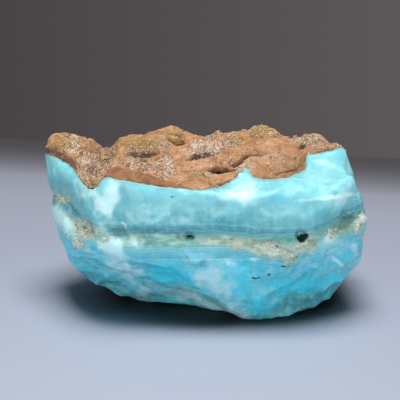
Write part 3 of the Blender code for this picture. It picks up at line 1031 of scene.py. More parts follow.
def rind_values(points, outward, view, front, wander):
    """What the rind's colours read: its marks, its sugary crust and its cut face."""
    section = cut_face(points, outward)
    values = {}
    for kind in RIND_MARKS:
        kept = 1.0 if kind == "umber" else 1.0 - 0.85 * section
        values[kind] = front * kept * painted(RIND_MARKS[kind], view, wander)
    sugar = values["sugar"] - values["clay"] + 0.12 + 0.6 * noise(points, 5.0)
    values["sugar"] = step(0.0, 0.85, sugar) * (1.0 - section)
    values["section"] = section
    return values


def rind_shape():
    """The rind: the top and upper sides of the same form, with granular and cracked relief.

    Grains, lumps and thin broken sheets stand up, cracks, pits and the crack and shadow marks sink. Beyond
    the rind's lower edge the surface sinks up to 2.9 mm under the blue stone, and a fan to a point over
    the stone's heart closes it there.
    """
    rays, quads = box_patches(grid_lines(RIND_GRID, RIND_GATHER), RIND_LOW_ROW)
    points, outward, on_top = stone_form(rays)
    reach = rind_reach(points, outward)
    view = front_view(points)
    front = faces_front(outward)
    wander = 0.28 * noise(points, 4.0) + 0.22 * noise(points, 1.8)
    values = rind_values(points, outward, view, front, wander)
    loose = 1.0 - values["section"]
    relief = values["sugar"] * 0.4 * (0.6 - grain_cells(points, 1.0))
    relief += (0.22 + 0.18 * values["sugar"]) * noise(points, 2.0) * (0.3 + 0.7 * loose)
    relief += loose * 0.12 * noise(points, 0.9)
    relief += 0.42 * loose * small_ledges(points) * (0.4 + 0.6 * step(0.9, 0.2, values["sugar"]))
    cracks = np.exp(-(noise(points * (1.0, 1.6, 0.4), 9.0) / 0.035) ** 2)
    cracks *= on_top * step(0.1, 0.4, noise(points + 11.0, 11.0)) * loose
    pits = step(0.17, 0.06, grain_cells(points + 5.0, 3.4)) * loose
    relief -= 0.5 * cracks + 0.5 * pits + 0.8 * np.minimum(values["crumb"], 1.2)
    relief -= loose * front * painted(RIND_RELIEF["low"], view, 0.5 * wander, 1.2, 0.85)
    relief += loose * front * painted(RIND_RELIEF["high"], view, 0.5 * wander, 1.25, 0.8)
    relief -= 0.9 * step(0.15, -0.8, reach) + 2.0 * step(-0.8, -3.0, reach)
    points = points + outward * relief[:, None]
    values["crack"] = np.maximum(cracks, pits)
    points = points + np.array([*SHIFT, 0.0])
    values["reach"] = reach
    values["hollow"] = hollowness(points, quads, 5)
    heart = len(points)
    points = np.vstack([points, RIND_HEART])
    for key in values:
        values[key] = np.append(values[key], 0.0)
    return points, [quads, closing_fan(quads, heart)], values


def closing_fan(quads, middle):
    """Triangles from each open edge of the quads to one middle point, facing outwards."""
    edges = np.concatenate([quads[:, [0, 1]], quads[:, [1, 2]], quads[:, [2, 3]], quads[:, [3, 0]]])
    key = np.sort(edges, axis=1)
    _pairs, first, count = np.unique(key, axis=0, return_index=True, return_counts=True)
    open_edges = edges[first[count == 1]]
    return np.column_stack([open_edges[:, 1], open_edges[:, 0], np.full(len(open_edges), middle)])


class Paint:
    """Builds one material: adds nodes, joins them, and gives back their outputs."""

    def __init__(self, name):
        self.material = bpy.data.materials.new(name)
        self.material.use_nodes = True
        self.tree = self.material.node_tree
        self.shader = self.tree.nodes["Principled BSDF"]
        self.place = self.node("ShaderNodeTexCoord").outputs["Object"]

    def node(self, kind, **settings):
        """Adds a node of a kind with its settings."""
        made = self.tree.nodes.new(kind)
        for key, value in settings.items():
            setattr(made, key, value)
        return made

    def put(self, value, socket):
        """Joins an output to a socket, or writes a number, a colour or a named shade into it."""
        if isinstance(value, bpy.types.NodeSocket):
            self.tree.links.new(value, socket)
        elif isinstance(value, str):
            socket.default_value = linear(SHADES[value])
        elif isinstance(value, Color):
            socket.default_value = (*value, 1.0)
        else:
            socket.default_value = value

    def value(self, name):
        """The piece's own value of a name."""
        return self.node("ShaderNodeAttribute", attribute_name=name).outputs["Fac"]

    def math(self, operation, a, b):
        """Two values joined by an operation."""
        made = self.node("ShaderNodeMath", operation=operation)
        self.put(a, made.inputs[0])
        self.put(b, made.inputs[1])
        return made.outputs[0]

    def times(self, a, b):
        """The product of two values."""
        return self.math("MULTIPLY", a, b)

    def plus(self, a, b):
        """The sum of two values."""
        return self.math("ADD", a, b)

    def most(self, a, b):
        """The larger of two values."""
        return self.math("MAXIMUM", a, b)

    def change(self, value, low, high, to_low=0.0, to_high=1.0):
        """A smooth change of value from low to high into the range to_low to to_high."""
        made = self.node("ShaderNodeMapRange", interpolation_type="SMOOTHSTEP")
        for socket, part in zip(made.inputs, (value, low, high, to_low, to_high)):
            self.put(part, socket)
        return made.outputs[0]

    def mix(self, factor, a, b):
        """Colour a where factor is 0 and colour b where it is 1."""
        made = self.node("ShaderNodeMix", data_type="RGBA")
        self.put(factor, made.inputs[0])
        self.put(a, made.inputs[6])
        self.put(b, made.inputs[7])
        return made.outputs[2]

    def over(self, color, shade, where, strength):
        """A colour with a shade laid over it where a value is high, at a strength."""
        return self.mix(self.times(where, strength), color, shade)

    def grain(self, size_mm, detail=3.0, stretch=(1.0, 1.0, 1.0), rough=0.55):
        """Noise of a size in millimetres, read at the piece's own place."""
        turn = self.node("ShaderNodeMapping")
        turn.inputs["Scale"].default_value = stretch
        self.put(self.place, turn.inputs["Vector"])
        made = self.node("ShaderNodeTexNoise")
        made.inputs["Scale"].default_value = 1.0 / (size_mm * MM)
        made.inputs["Detail"].default_value = detail
        made.inputs["Roughness"].default_value = rough
        self.put(turn.outputs[0], made.inputs["Vector"])
        return made.outputs["Fac"]

    def cells(self, size_mm):
        """Scattered cells of a size in millimetres: their distances, colours and middles."""
        made = self.node("ShaderNodeTexVoronoi")
        made.inputs["Scale"].default_value = 1.0 / (size_mm * MM)
        self.put(self.place, made.inputs["Vector"])
        return made.outputs

    def facets(self, size_mm):
        """Height of small flat cleavage faces: in each cell a plane with its own lean."""
        cells = self.cells(size_mm)
        away = self.node("ShaderNodeVectorMath", operation="SUBTRACT")
        self.put(self.place, away.inputs[0])
        self.put(cells["Position"], away.inputs[1])
        lean = self.node("ShaderNodeVectorMath", operation="SUBTRACT")
        self.put(cells["Color"], lean.inputs[0])
        lean.inputs[1].default_value = (0.5, 0.5, 0.5)
        height = self.node("ShaderNodeVectorMath", operation="DOT_PRODUCT")
        self.put(away.outputs[0], height.inputs[0])
        self.put(lean.outputs[0], height.inputs[1])
        return self.math("DIVIDE", height.outputs["Value"], size_mm * MM)

    def ramp(self, value, stops):
        """A colour from a row of stops, each a position and a colour as seen."""
        made = self.node("ShaderNodeValToRGB")
        ramp = made.color_ramp
        while len(ramp.elements) < len(stops):
            ramp.elements.new(1.0)
        for element, (position, color) in zip(ramp.elements, stops):
            element.position = position
            element.color = linear(color)
        self.put(value, made.inputs[0])
        return made.outputs[0]

    def patch(self, name, size_mm, detail, low, high):
        """A painted mark that shows through the gaps of a grain."""
        return self.times(self.value(name), self.change(self.grain(size_mm, detail), low, high))

    def torn(self, name, grain, strength):
        """A painted mark with its edge eaten by noise, from 0 outside to 1 inside."""
        eaten = self.times(self.math("SUBTRACT", grain, 0.5), strength)
        return self.change(self.plus(self.value(name), eaten), 0.0, 1.15)

    def bump(self, height, strength, distance_mm):
        """Fine relief of a height in millimetres."""
        made = self.node("ShaderNodeBump")
        made.inputs["Strength"].default_value = strength
        made.inputs["Distance"].default_value = distance_mm * MM
        self.put(height, made.inputs["Height"])
        self.put(made.outputs[0], self.shader.inputs["Normal"])

    def glow(self, weight, radius, scale_mm):
        """Light that passes under the surface."""
        self.shader.inputs["Subsurface Weight"].default_value = weight
        self.shader.inputs["Subsurface Radius"].default_value = radius
        self.shader.inputs["Subsurface Scale"].default_value = scale_mm * MM


def banded_color(paint, layer, band_width):
    """The layers' colours by height over the seam, with fine dark and pale bands near it."""
    span = LAYER_HIGH - LAYER_LOW
    along = paint.math("DIVIDE", paint.math("SUBTRACT", layer, LAYER_LOW), span)
    color = paint.ramp(along, [((height - LAYER_LOW) / span, shade) for height, shade in LAYERS])
    band = paint.node("ShaderNodeTexNoise", noise_dimensions="1D")
    band.inputs["Scale"].default_value = 1.0 / band_width
    band.inputs["Detail"].default_value = 1.5
    band.inputs["Roughness"].default_value = 0.6
    paint.put(layer, band.inputs["W"])
    near_seam = paint.times(paint.change(layer, -0.5, 1.0), paint.change(layer, 6.0, 2.5))
    under_seam = paint.times(paint.change(layer, -11.0, -9.0), paint.change(layer, -2.0, -4.0))
    strength = paint.most(near_seam, paint.times(under_seam, 0.45))
    strength = paint.most(strength, paint.change(layer, 9.0, 6.0, 0.0, 0.1))
    dark = paint.times(paint.change(band.outputs["Fac"], 0.52, 0.42), strength)
    color = paint.over(color, "dark band", dark, 0.85)
    pale = paint.times(paint.change(band.outputs["Fac"], 0.55, 0.7), strength)
    return paint.over(color, "pale band", pale, 0.35)


def clouded_color(paint, color, layer, low, look):
    """Upright fibres and haze above the seam, pale and deep mottling well below it."""
    fibre = paint.change(paint.grain(2.2, 4.0, (1.0, 1.0, 0.1)), 0.42, 0.7)
    above = paint.times(paint.change(layer, 0.0, 3.0), paint.change(layer, 13.0, 8.0, 0.0, 0.2))
    color = paint.over(color, "pale fibre", fibre, above)
    haze = paint.times(paint.change(paint.grain(9.0, 2.0), 0.42, 0.62), paint.change(layer, 2.0, 5.0))
    color = paint.over(color, "haze", haze, 0.25)
    mottle = paint.times(paint.change(paint.grain(4.6, 5.0, rough=0.6), 0.48, 0.64), low)
    color = paint.over(color, "pale mottle", mottle, 0.6)
    mottle = paint.times(paint.change(paint.grain(4.1, 4.0), 0.52, 0.38), low)
    return paint.over(color, look.deep_blue, mottle, 0.5)


def seam_color(paint, color, layer, look):
    """The green and cream streaks of the seam."""
    color = paint.over(color, look.seam_green, paint.patch("green", 2.2, 3.0, 0.3, 0.6), 0.75)
    streaks = paint.grain(1.4, 4.0, (0.3, 0.3, 1.0))
    in_seam = paint.times(paint.change(layer, -4.4, -2.6), paint.change(layer, 0.9, -0.4))
    pale = paint.times(paint.change(streaks, 0.5, 0.64), in_seam)
    color = paint.over(color, look.seam_cream, pale, 0.4)
    shade = paint.times(paint.change(streaks, 0.46, 0.34), in_seam)
    return paint.over(color, "seam shade", shade, 0.6)


def marked_color(paint, color, layer, earth, look):
    """The painted marks: teal with some painted shade, deep blue, milk clouds with painted highlights,
    earth, painted green shade, druse and painted glints.
    """
    # Teal tint, and painted shade on the left facet and the upper right
    color = paint.over(color, look.dark_teal, paint.patch("teal", 2.2, 3.0, 0.25, 0.55), 0.6)
    color = paint.over(color, look.deep_blue, paint.torn("deep", paint.grain(2.6, 4.0), 1.3), 0.85)
    # Milk: white clouds, with painted highlights on the bevel, the left corner and the broken top
    tear = paint.change(layer, -3.0, -8.0, 0.55, 1.5)
    cloud_and_highlight = paint.torn("milk", paint.grain(2.6, 6.0, rough=0.66), tear)
    milk = paint.mix(paint.change(layer, -4.0, -11.0), look.milk, "low milk")
    color = paint.over(color, milk, cloud_and_highlight, 0.8)
    streaks = paint.change(paint.grain(1.7, 3.0, (0.6, 0.6, 1.0)), 0.38, 0.64)
    color = paint.over(color, paint.mix(streaks, look.seam_tan, look.seam_cream), earth, 0.78)
    # Painted green shade in hollows
    color = paint.over(color, "green shade", paint.torn("shade", paint.grain(1.6, 3.0), 0.9), 0.75)
    color = paint.over(color, "frost", paint.torn("frost", paint.grain(0.8, 3.0), 1.6), 0.85)
    # Painted glints: a bright near-white spot
    return paint.over(color, "glint", paint.change(paint.value("glint"), 0.1, 0.9), 0.65)


def worn_color(paint, color, low):
    """Pale crests, partly a painted highlight; deeper blue and darker hollows; painted shadow along the
    rind; painted shade in holes, and dark specks.
    """
    hollow = paint.value("hollow")
    # Paler crests, partly a painted highlight
    color = paint.over(color, "pale crest and highlight", paint.times(paint.change(hollow, -0.04, -0.3), low), 0.42)
    color = paint.over(color, "hollow blue", paint.times(paint.change(hollow, 0.03, 0.25), low), 0.3)
    # Painted shadow along the rind's lower edge, and darker hollows
    by_rind = paint.change(paint.value("reach"), -3.2, -0.2)
    rind_shadow_and_dark_hollows = paint.plus(paint.change(hollow, 0.2, 0.8, 0.0, 0.5), by_rind)
    color = paint.over(color, "rind shadow and dark hollows", rind_shadow_and_dark_hollows, 0.5)
    # Painted shade in the vugs, and dark specks
    ragged = paint.change(paint.grain(0.7), 0.3, 0.7, -0.2, 0.2)
    dark = paint.change(paint.plus(paint.value("dark"), ragged), 0.3, 0.75)
    return paint.mix(dark, color, "hole")


def blue_material(look):
    """Waxy banded blue: layers by height over the seam, fine bands, clouds and painted highlights, druse,
    specks and painted shade.
    """
    paint = Paint("banded_blue_aragonite")
    layer = paint.plus(paint.value("layer"), paint.change(paint.grain(4.0), 0.3, 0.7, -0.3, 0.3))
    low = paint.change(layer, -6.0, -10.0)
    earth = paint.torn("tan", paint.grain(2.4, 3.0), 1.0)
    color = banded_color(paint, layer, look.band_width)
    color = clouded_color(paint, color, layer, low, look)
    color = seam_color(paint, color, layer, look)
    color = marked_color(paint, color, layer, earth, look)
    paint.put(worn_color(paint, color, low), paint.shader.inputs["Base Color"])
    rough = paint.change(paint.grain(1.8), 0.3, 0.7, 0.22, 0.42)
    rough = paint.plus(rough, paint.change(layer, 6.0, 12.0, 0.0, 0.16))
    paint.put(paint.plus(rough, paint.times(earth, 0.22)), paint.shader.inputs["Roughness"])
    paint.glow(look.glow, (0.5, 1.0, 1.1), 4.0)
    paint.shader.inputs["IOR"].default_value = BLUE_IOR
    height = paint.plus(paint.grain(0.9, 4.0), paint.times(paint.grain(0.35, 2.0), 0.4))
    height = paint.times(height, paint.change(layer, -2.0, -7.0, 0.13, 0.6))
    cleaved = paint.times(paint.facets(5.0), paint.change(layer, -3.0, -8.0, 0.15, 2.6))
    paint.bump(paint.plus(height, cleaved), 0.45, 0.25)
    return paint.material


def crust_color(paint, sugar, look):
    """Smooth earth where sugar is low, and a crust of small unlike grains where it is high."""
    clay = paint.mix(paint.change(paint.grain(5.0, 4.0), 0.35, 0.65), look.clay, look.clay_light)
    dull = paint.change(paint.grain(1.6, 5.0, rough=0.65), 0.5, 0.66, 0.0, 0.6)
    clay = paint.mix(dull, clay, "dull clay")
    pale = paint.change(paint.grain(2.4, 5.0, rough=0.65), 0.48, 0.34, 0.0, 0.45)
    clay = paint.mix(pale, clay, "pale clay")
    cells = paint.cells(0.95)
    shade = paint.node("ShaderNodeSeparateColor")
    paint.put(cells["Color"], shade.inputs[0])
    crust = paint.ramp(shade.outputs[0], CRUST_SHADES)
    crust = paint.mix(paint.change(cells["Distance"], 0.3, 0.6, 0.0, 0.75), crust, "crust gaps")
    ragged = paint.change(paint.grain(1.0), 0.3, 0.7, -0.25, 0.25)
    return paint.mix(paint.change(paint.plus(sugar, ragged), 0.3, 0.65), clay, crust)


def cut_face_color(paint, color, look):
    """The smooth cut face under the rim, the umber marks with their painted shade, and the dark line along
    the rind's lower edge, partly a painted shadow.
    """
    cut = paint.mix(paint.change(paint.grain(3.2, 4.0), 0.4, 0.62), look.cut_edge, "light cut")
    color = paint.over(color, cut, paint.value("section"), 0.8)
    # A dark line along the rind's lower edge, partly a painted shadow, and the painted shade of the umber
    # marks
    edge = paint.times(paint.change(paint.value("reach"), 1.1, 0.1), 0.45)
    return paint.mix(paint.most(paint.times(paint.value("umber"), 0.75), edge), color, "umber")


def rind_material(look):
    """Dull earth: smooth clay, sugary crust, olive weathering, a darker cut edge, dark cracks, painted
    shadow in recesses and under ledges.
    """
    paint = Paint("brown_earthy_rind")
    sugar = paint.value("sugar")
    color = crust_color(paint, sugar, look)
    color = paint.over(color, look.olive, paint.patch("olive", 2.0, 4.0, 0.35, 0.6), 0.7)
    color = paint.over(color, "washed crust", paint.patch("pale", 1.4, 4.0, 0.35, 0.6), 0.8)
    color = paint.over(color, "rust", paint.patch("rust", 2.4, 3.0, 0.3, 0.6), 0.6)
    color = paint.over(color, "pink clay", paint.value("pink"), 0.5)
    color = paint.over(color, "white crust", paint.patch("white", 0.9, 3.0, 0.42, 0.6), 0.7)
    color = cut_face_color(paint, color, look)
    # Dark cracks and painted shadow in recesses and under ledges
    color = paint.over(color, "crumb", paint.patch("crumb", 1.3, 3.0, 0.24, 0.5), 0.85)
    pepper = paint.change(paint.grain(0.6, 4.0, rough=0.7), 0.54, 0.64)
    color = paint.over(color, "pepper", pepper, 0.4)
    salt = paint.change(paint.grain(0.7, 4.0, (1.1, 0.9, 1.0), 0.7), 0.56, 0.68)
    color = paint.over(color, "salt", salt, 0.35)
    specks = paint.change(paint.cells(1.9)["Distance"], 0.13, 0.06)
    color = paint.over(color, "rind speck", specks, 0.8)
    hollow = paint.value("hollow")
    color = paint.over(color, "hollow earth", paint.change(hollow, 0.06, 0.45), 0.6)
    color = paint.over(color, "worn earth", paint.change(hollow, -0.05, -0.35), 0.35)
    color = paint.over(color, "crack", paint.value("crack"), 0.75)
    paint.put(color, paint.shader.inputs["Base Color"])
    paint.put(paint.change(sugar, 0.0, 1.0, 0.78, 0.6), paint.shader.inputs["Roughness"])
    height = paint.plus(paint.grain(0.8, 5.0, rough=0.7), paint.times(paint.grain(0.3, 2.0), 0.5))
    paint.bump(height, 0.7, 0.4)
    return paint.material


def scatter(points, faces, weight, count, seed):
    """Picks count places on the faces, more where weight is high: places, outward sides, faces."""
    rng = np.random.RandomState(seed)
    corner = points[faces]
    across = np.cross(corner[:, 2] - corner[:, 0], corner[:, 3] - corner[:, 1])
    area = np.linalg.norm(across, axis=1)
    chance = area * np.maximum(weight[faces].mean(axis=1), 0.0)
    chosen = rng.choice(len(faces), size=count, p=chance / chance.sum())
    a = rng.uniform(0, 1, (count, 1))
    b = rng.uniform(0, 1, (count, 1))
    quad = corner[chosen]
    place = (quad[:, 0] * (1 - a) + quad[:, 1] * a) * (1 - b) + (quad[:, 3] * (1 - a) + quad[:, 2] * a) * b
    return place, across[chosen] / np.maximum(area[chosen][:, None], 1e-9), chosen, rng


def turned_frames(sides, rng, lean):
    """A random set of axes at each place, its third one leaning a little off the outward side."""
    third = sides + lean * rng.normal(size=sides.shape)
    third /= np.linalg.norm(third, axis=1)[:, None]
    first = np.cross(third, rng.normal(size=sides.shape))
    first /= np.linalg.norm(first, axis=1)[:, None]
    return np.stack([first, np.cross(third, first), third], axis=1)


def block_form():
    """A unit block of eight corners and six quads, for one seam crystal."""
    corners = np.array([(x, y, z) for x in (-1, 1) for y in (-1, 1) for z in (-1, 1)], dtype=float) * 0.5
    quads = [(0, 1, 3, 2), (4, 6, 7, 5), (0, 4, 5, 1), (2, 3, 7, 6), (0, 2, 6, 4), (1, 5, 7, 3)]
    return corners, np.array(quads)


def grain_form():
    """A unit double pyramid of six corners and eight triangles, for one sugary grain."""
    corners = np.array([(1, 0, 0), (0, 1, 0), (-1, 0, 0), (0, -1, 0), (0, 0, 1), (0, 0, -1)]) * 0.62
    triangles = [(0, 1, 4), (1, 2, 4), (2, 3, 4), (3, 0, 4), (1, 0, 5), (2, 1, 5), (3, 2, 5), (0, 3, 5)]
    return corners, np.array(triangles)


def joined_pieces(form, place, axes, size, rng, squeeze):
    """Many small solids in one mesh: each is jittered, squeezed, sized, turned and set in its place."""
    corners, faces = form
    count = len(place)
    many = len(corners)
    points = corners[None] + rng.uniform(-0.13, 0.13, (count, many, 3))
    points *= size[:, None, None] * (1.0 + squeeze * rng.uniform(-1, 1, (count, 1, 3)))
    points = np.einsum("nij,njk->nik", points, axes) + place[:, None, :]
    faces = faces[None] + many * np.arange(count)[:, None, None]
    return points.reshape(-1, 3), faces.reshape(-1, faces.shape[2])


def rind_grain_shape(look):
    """The sugary grains: jittered double pyramids, nearly half sunk in the granular rind."""
    points, faces, values = rind_shape()
    quads = faces[0]
    shown = step(0.4, 1.0, values["reach"]) * (1.0 - values["section"])
    shown *= 1.0 - 0.85 * np.minimum(values["crumb"], 1.0)
    patchy = 0.25 + 0.75 * step(-0.3, 0.5, noise(points, 3.0) + 0.5 * noise(points, 1.4))
    weight = shown * patchy * step(0.1, 1.0, values["sugar"]) + 0.03 * shown * patchy
    place, sides, pick, rng = scatter(points, quads, weight, look.grain_count, GRAIN_SEED)
    size = look.grain_size * (0.5 + 0.9 * rng.uniform(0, 1, len(place)) ** 3)
    place = place + sides * (0.08 * size)[:, None]
    white = values["white"][quads[pick, 0]]
    points, faces = joined_pieces(grain_form(), place, turned_frames(sides, rng, 0.8), size, rng, 0.3)
    tint = rng.normal(0.53, 0.27, len(place)) + 0.25 * np.minimum(white, 1.0)
    olive = np.minimum(values["olive"][quads[pick, 0]], 1.0)
    tints = {"tint": np.clip(tint, 0.0, 1.0), "olive": olive}
    corners = len(grain_form()[0])
    return points, [faces], {key: np.repeat(value, corners) for key, value in tints.items()}


def grain_material():
    """Each grain in its own shade from dark brown over tan to pinkish white."""
    paint = Paint("sugary_grains")
    color = paint.ramp(paint.value("tint"), GRAIN_SHADES)
    color = paint.mix(paint.change(paint.grain(0.5), 0.35, 0.7, 0.0, 0.3), color, "grain dust")
    color = paint.over(color, "olive grain", paint.value("olive"), 0.6)
    paint.put(color, paint.shader.inputs["Base Color"])
    paint.put(paint.change(paint.value("tint"), 0.3, 1.0, 0.65, 0.4), paint.shader.inputs["Roughness"])
    paint.bump(paint.grain(0.3, 2.0), 0.3, 0.1)
    return paint.material


def seam_crystal_shape(look):
    """Small blocky crystals crowding the tan druse, the vugs' rims and stretches of the seam."""
    points, faces, values = blue_stone_shape()
    quads = faces[0]
    crowded = step(0.1, 0.7, noise(points, 1.6) + 0.5 * noise(points, 0.8))
    weight = step(0.4, 1.0, values["tan"]) * 0.3 * crowded
    weight += step(0.2, 0.8, values["frost"]) * (0.3 + 0.7 * crowded)
    weight *= step(0.25, 0.05, values["dark"]) * (values["reach"] < -1.0)
    place, sides, pick, rng = scatter(
        points, quads, weight, look.crystal_count, CRYSTAL_SEED
    )
    size = look.crystal_size * (0.5 + 0.8 * rng.uniform(0, 1, len(place)) ** 2)
    place = place + sides * (0.02 * size)[:, None]
    frost = values["frost"][quads[pick, 0]]
    points, faces = joined_pieces(block_form(), place, turned_frames(sides, rng, 0.6), size, rng, 0.35)
    tint = rng.normal(0.55, 0.2, len(place)) + 0.3 * np.minimum(frost, 1.0)
    return points, [faces], {"tint": np.repeat(np.clip(tint, 0.0, 1.0), len(block_form()[0]))}


def crystal_material():
    """Greenish tan to clear white crystals with a wet glitter."""
    paint = Paint("seam_crystals")
    paint.put(paint.ramp(paint.value("tint"), CRYSTAL_SHADES), paint.shader.inputs["Base Color"])
    paint.shader.inputs["Roughness"].default_value = 0.28
    paint.glow(0.2, (0.8, 1.0, 0.9), 1.0)
    return paint.material


def color_choice(name, description, shade):
    """A colour that a user may change, its default given as seen, 0 to 255."""
    return FloatVectorProperty(
        name=name, description=description, subtype="COLOR", default=linear(shade)[:3], min=0.0, max=1.0
    )


class AragoniteLook(bpy.types.PropertyGroup):
    """Sizes and colours that a user would change."""

    milk: color_choice("Milk", "Colour of the white clouds", (208, 250, 250))
    deep_blue: color_choice("Deep blue", "Colour of the vivid patches", (52, 204, 230))
    dark_teal: color_choice("Dark teal", "Colour of the greenish shades", (52, 122, 132))
    seam_green: color_choice("Seam green", "Colour of the green under the seam", (104, 168, 156))
    seam_tan: color_choice("Seam tan", "Darker colour of the earthy seam", (150, 168, 144))
    seam_cream: color_choice("Seam cream", "Lighter colour of the earthy seam", (210, 216, 190))
    clay: color_choice("Clay", "Colour of the smooth earth", (149, 106, 70))
    clay_light: color_choice("Light clay", "Lighter colour of the smooth earth", (181, 139, 99))
    cut_edge: color_choice("Cut edge", "Colour of the rind's broken front edge", (104, 66, 40))
    olive: color_choice("Olive", "Colour of the weathered patches", (146, 114, 54))
    glow: FloatProperty(
        name="Glow", description="How much light passes under the blue surface",
        subtype="FACTOR", default=0.6, min=0.0, max=1.0,
    )
    band_width: FloatProperty(
        name="Band width", description="Width of the fine bands in millimetres",
        default=0.9, min=0.2, max=4.0,
    )
    grain_size: FloatProperty(
        name="Grain size", description="Width of the sugary grains in millimetres",
        default=0.46, min=0.3, max=2.0,
    )
    grain_count: IntProperty(
        name="Grains", description="How many grains lie on the rind", default=22000, min=100, max=24000
    )
    crystal_size: FloatProperty(
        name="Crystal size", description="Width of the seam's crystals in millimetres",
        default=0.44, min=0.3, max=2.0,
    )
    crystal_count: IntProperty(
        name="Crystals", description="How many crystals sit in the seam", default=1100, min=100, max=8000
    )


class ARAGONITE_OT_blue_stone(bpy.types.Operator):
    """Makes the banded blue stone"""

    bl_idname = "aragonite.blue_stone"
    bl_label = "Blue stone"

    def execute(self, context):
        make_piece("blue_stone", *blue_stone_shape(), blue_material(context.scene.aragonite_look))
        return {"FINISHED"}


class ARAGONITE_OT_rind(bpy.types.Operator):
    """Makes the brown rind on the stone's top"""

    bl_idname = "aragonite.rind"
    bl_label = "Rind"

    def execute(self, context):
        make_piece("rind", *rind_shape(), rind_material(context.scene.aragonite_look))
        return {"FINISHED"}


class ARAGONITE_OT_grains(bpy.types.Operator):
    """Makes the sugary grains of the rind"""

    bl_idname = "aragonite.grains"
    bl_label = "Rind grains"

    def execute(self, context):
        make_piece("rind_grains", *rind_grain_shape(context.scene.aragonite_look), grain_material())
        return {"FINISHED"}


class ARAGONITE_OT_crystals(bpy.types.Operator):
    """Makes the small crystals of the seam and its vugs"""

    bl_idname = "aragonite.crystals"
    bl_label = "Seam crystals"

    def execute(self, context):
        make_piece("seam_crystals", *seam_crystal_shape(context.scene.aragonite_look), crystal_material())
        return {"FINISHED"}


class ARAGONITE_OT_stage(bpy.types.Operator):
    """Makes the plain floor, the soft lights and the camera"""

    bl_idname = "aragonite.stage"
    bl_label = "Stage"

    def execute(self, context):
        make_floor()
        for light in LIGHTS:
            make_light(*light)
        make_room(context.scene)
        make_camera(context.scene)
        return {"FINISHED"}


class ARAGONITE_PT_panel(bpy.types.Panel):
    """Lists the pieces in the sidebar"""

    bl_label = "Aragonite"
    bl_idname = "ARAGONITE_PT_panel"
    bl_space_type = "VIEW_3D"
    bl_region_type = "UI"
    bl_category = "Aragonite"

    def draw(self, context):
        for operator in OPERATORS:
            self.layout.operator(operator.bl_idname)
        look = context.scene.aragonite_look
        for name in look.__annotations__:
            self.layout.prop(look, name)


OPERATORS = (
    ARAGONITE_OT_stage,
    ARAGONITE_OT_blue_stone,
    ARAGONITE_OT_rind,
    ARAGONITE_OT_grains,
    ARAGONITE_OT_crystals,
)
CLASSES = (AragoniteLook, *OPERATORS, ARAGONITE_PT_panel)


def make_floor():
    """A pale lavender-grey table, darker behind the stone as a painted fall-off of light and softly ended,
    with a painted contact shadow where the stone is close.
    """
    mesh = bpy.data.meshes.new("floor")
    mesh.from_pydata(TABLE_CORNERS, [], [(0, 1, 2, 3)])
    paint = Paint("pale_table")
    parts = paint.node("ShaderNodeSeparateXYZ")
    paint.put(paint.place, parts.inputs[0])
    far = paint.plus(parts.outputs[1], paint.times(parts.outputs[0], TABLE_LEAN))
    # Darker towards the back: a painted fall-off of the light
    shade = paint.ramp(paint.change(far, -0.2, 0.2), TABLE_SHADES)
    # A painted contact shadow where the stone is close
    open_air = paint.node("ShaderNodeAmbientOcclusion", samples=8)
    open_air.inputs["Distance"].default_value = CONTACT_REACH
    contact_shadow = paint.change(open_air.outputs["AO"], 0.75, 0.35)
    paint.put(paint.mix(contact_shadow, shade, "painted contact shadow"), paint.shader.inputs["Base Color"])
    paint.shader.inputs["Roughness"].default_value = 0.7
    mesh.materials.append(paint.material)
    floor = bpy.data.objects.new("floor", mesh)
    bpy.context.scene.collection.objects.link(floor)


def make_light(name, place, size, power, color, stone_only):
    """A soft rectangular light that faces the stone, unseen by the camera.

    With stone_only it lights the stone's pieces alone, so that it casts no shadow on the table.
    """
    data = bpy.data.lights.new(name, "AREA")
    data.shape = "RECTANGLE"
    data.size, data.size_y = size
    data.energy = power
    data.color = color
    light = bpy.data.objects.new(name, data)
    light.location = place
    light.rotation_euler = (Vector(LIGHT_AIM) - Vector(place)).to_track_quat("-Z", "Y").to_euler()
    light.visible_camera = False
    if stone_only:
        light.light_linking.receiver_collection = stone_pieces()
    bpy.context.scene.collection.objects.link(light)


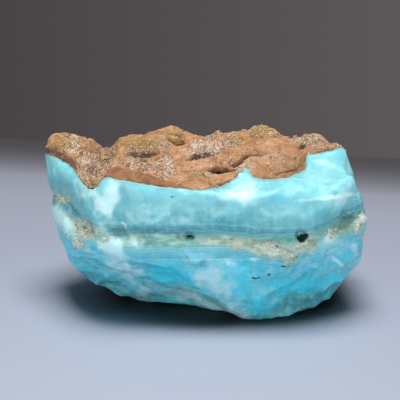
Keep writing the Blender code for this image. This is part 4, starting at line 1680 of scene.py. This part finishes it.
def make_room(scene):
    """A dark-grey room, a little lighter towards the right."""
    world = bpy.data.worlds.new("dark_room")
    world.use_nodes = True
    nodes = world.node_tree.nodes
    parts = nodes.new("ShaderNodeSeparateXYZ")
    ramp = nodes.new("ShaderNodeValToRGB")
    for element, (position, color) in zip(ramp.color_ramp.elements, ROOM_SHADES):
        element.position = position
        element.color = linear(color)
    shift = nodes.new("ShaderNodeMath")
    shift.inputs[1].default_value = 0.5
    links = world.node_tree.links
    links.new(nodes.new("ShaderNodeTexCoord").outputs["Generated"], parts.inputs[0])
    links.new(parts.outputs[0], shift.inputs[0])
    links.new(shift.outputs[0], ramp.inputs[0])
    links.new(ramp.outputs[0], nodes["Background"].inputs["Color"])
    scene.world = world
    scene.view_settings.view_transform = "Standard"


def make_camera(scene):
    """The camera at the photograph's angle."""
    rise = np.radians(CAMERA_RISE)
    aim = Vector((np.array(CAMERA_AIM) + np.array([*SHIFT, 0.0])) * MM)
    back = Vector((0.0, -np.cos(rise), np.sin(rise)))
    data = bpy.data.cameras.new("camera")
    data.sensor_width = SENSOR_WIDTH
    data.lens = 0.5 * SENSOR_WIDTH / np.tan(np.radians(CAMERA_ANGLE) / 2.0)
    data.clip_start = 0.01
    camera = bpy.data.objects.new("camera", data)
    camera.location = aim + back * CAMERA_DISTANCE * MM
    camera.rotation_euler = (-back).to_track_quat("-Z", "Y").to_euler()
    scene.collection.objects.link(camera)
    scene.camera = camera


def register():
    """Adds the classes and the scene's values."""
    for cls in CLASSES:
        bpy.utils.register_class(cls)
    bpy.types.Scene.aragonite_look = PointerProperty(type=AragoniteLook)


def unregister():
    """Takes the scene's values and the classes away."""
    del bpy.types.Scene.aragonite_look
    for cls in reversed(CLASSES):
        bpy.utils.unregister_class(cls)


def main():
    """Makes the stage and every piece."""
    register()
    bpy.ops.aragonite.stage()
    bpy.ops.aragonite.blue_stone()
    bpy.ops.aragonite.rind()
    bpy.ops.aragonite.grains()
    bpy.ops.aragonite.crystals()


if __name__ == "__main__":
    main()
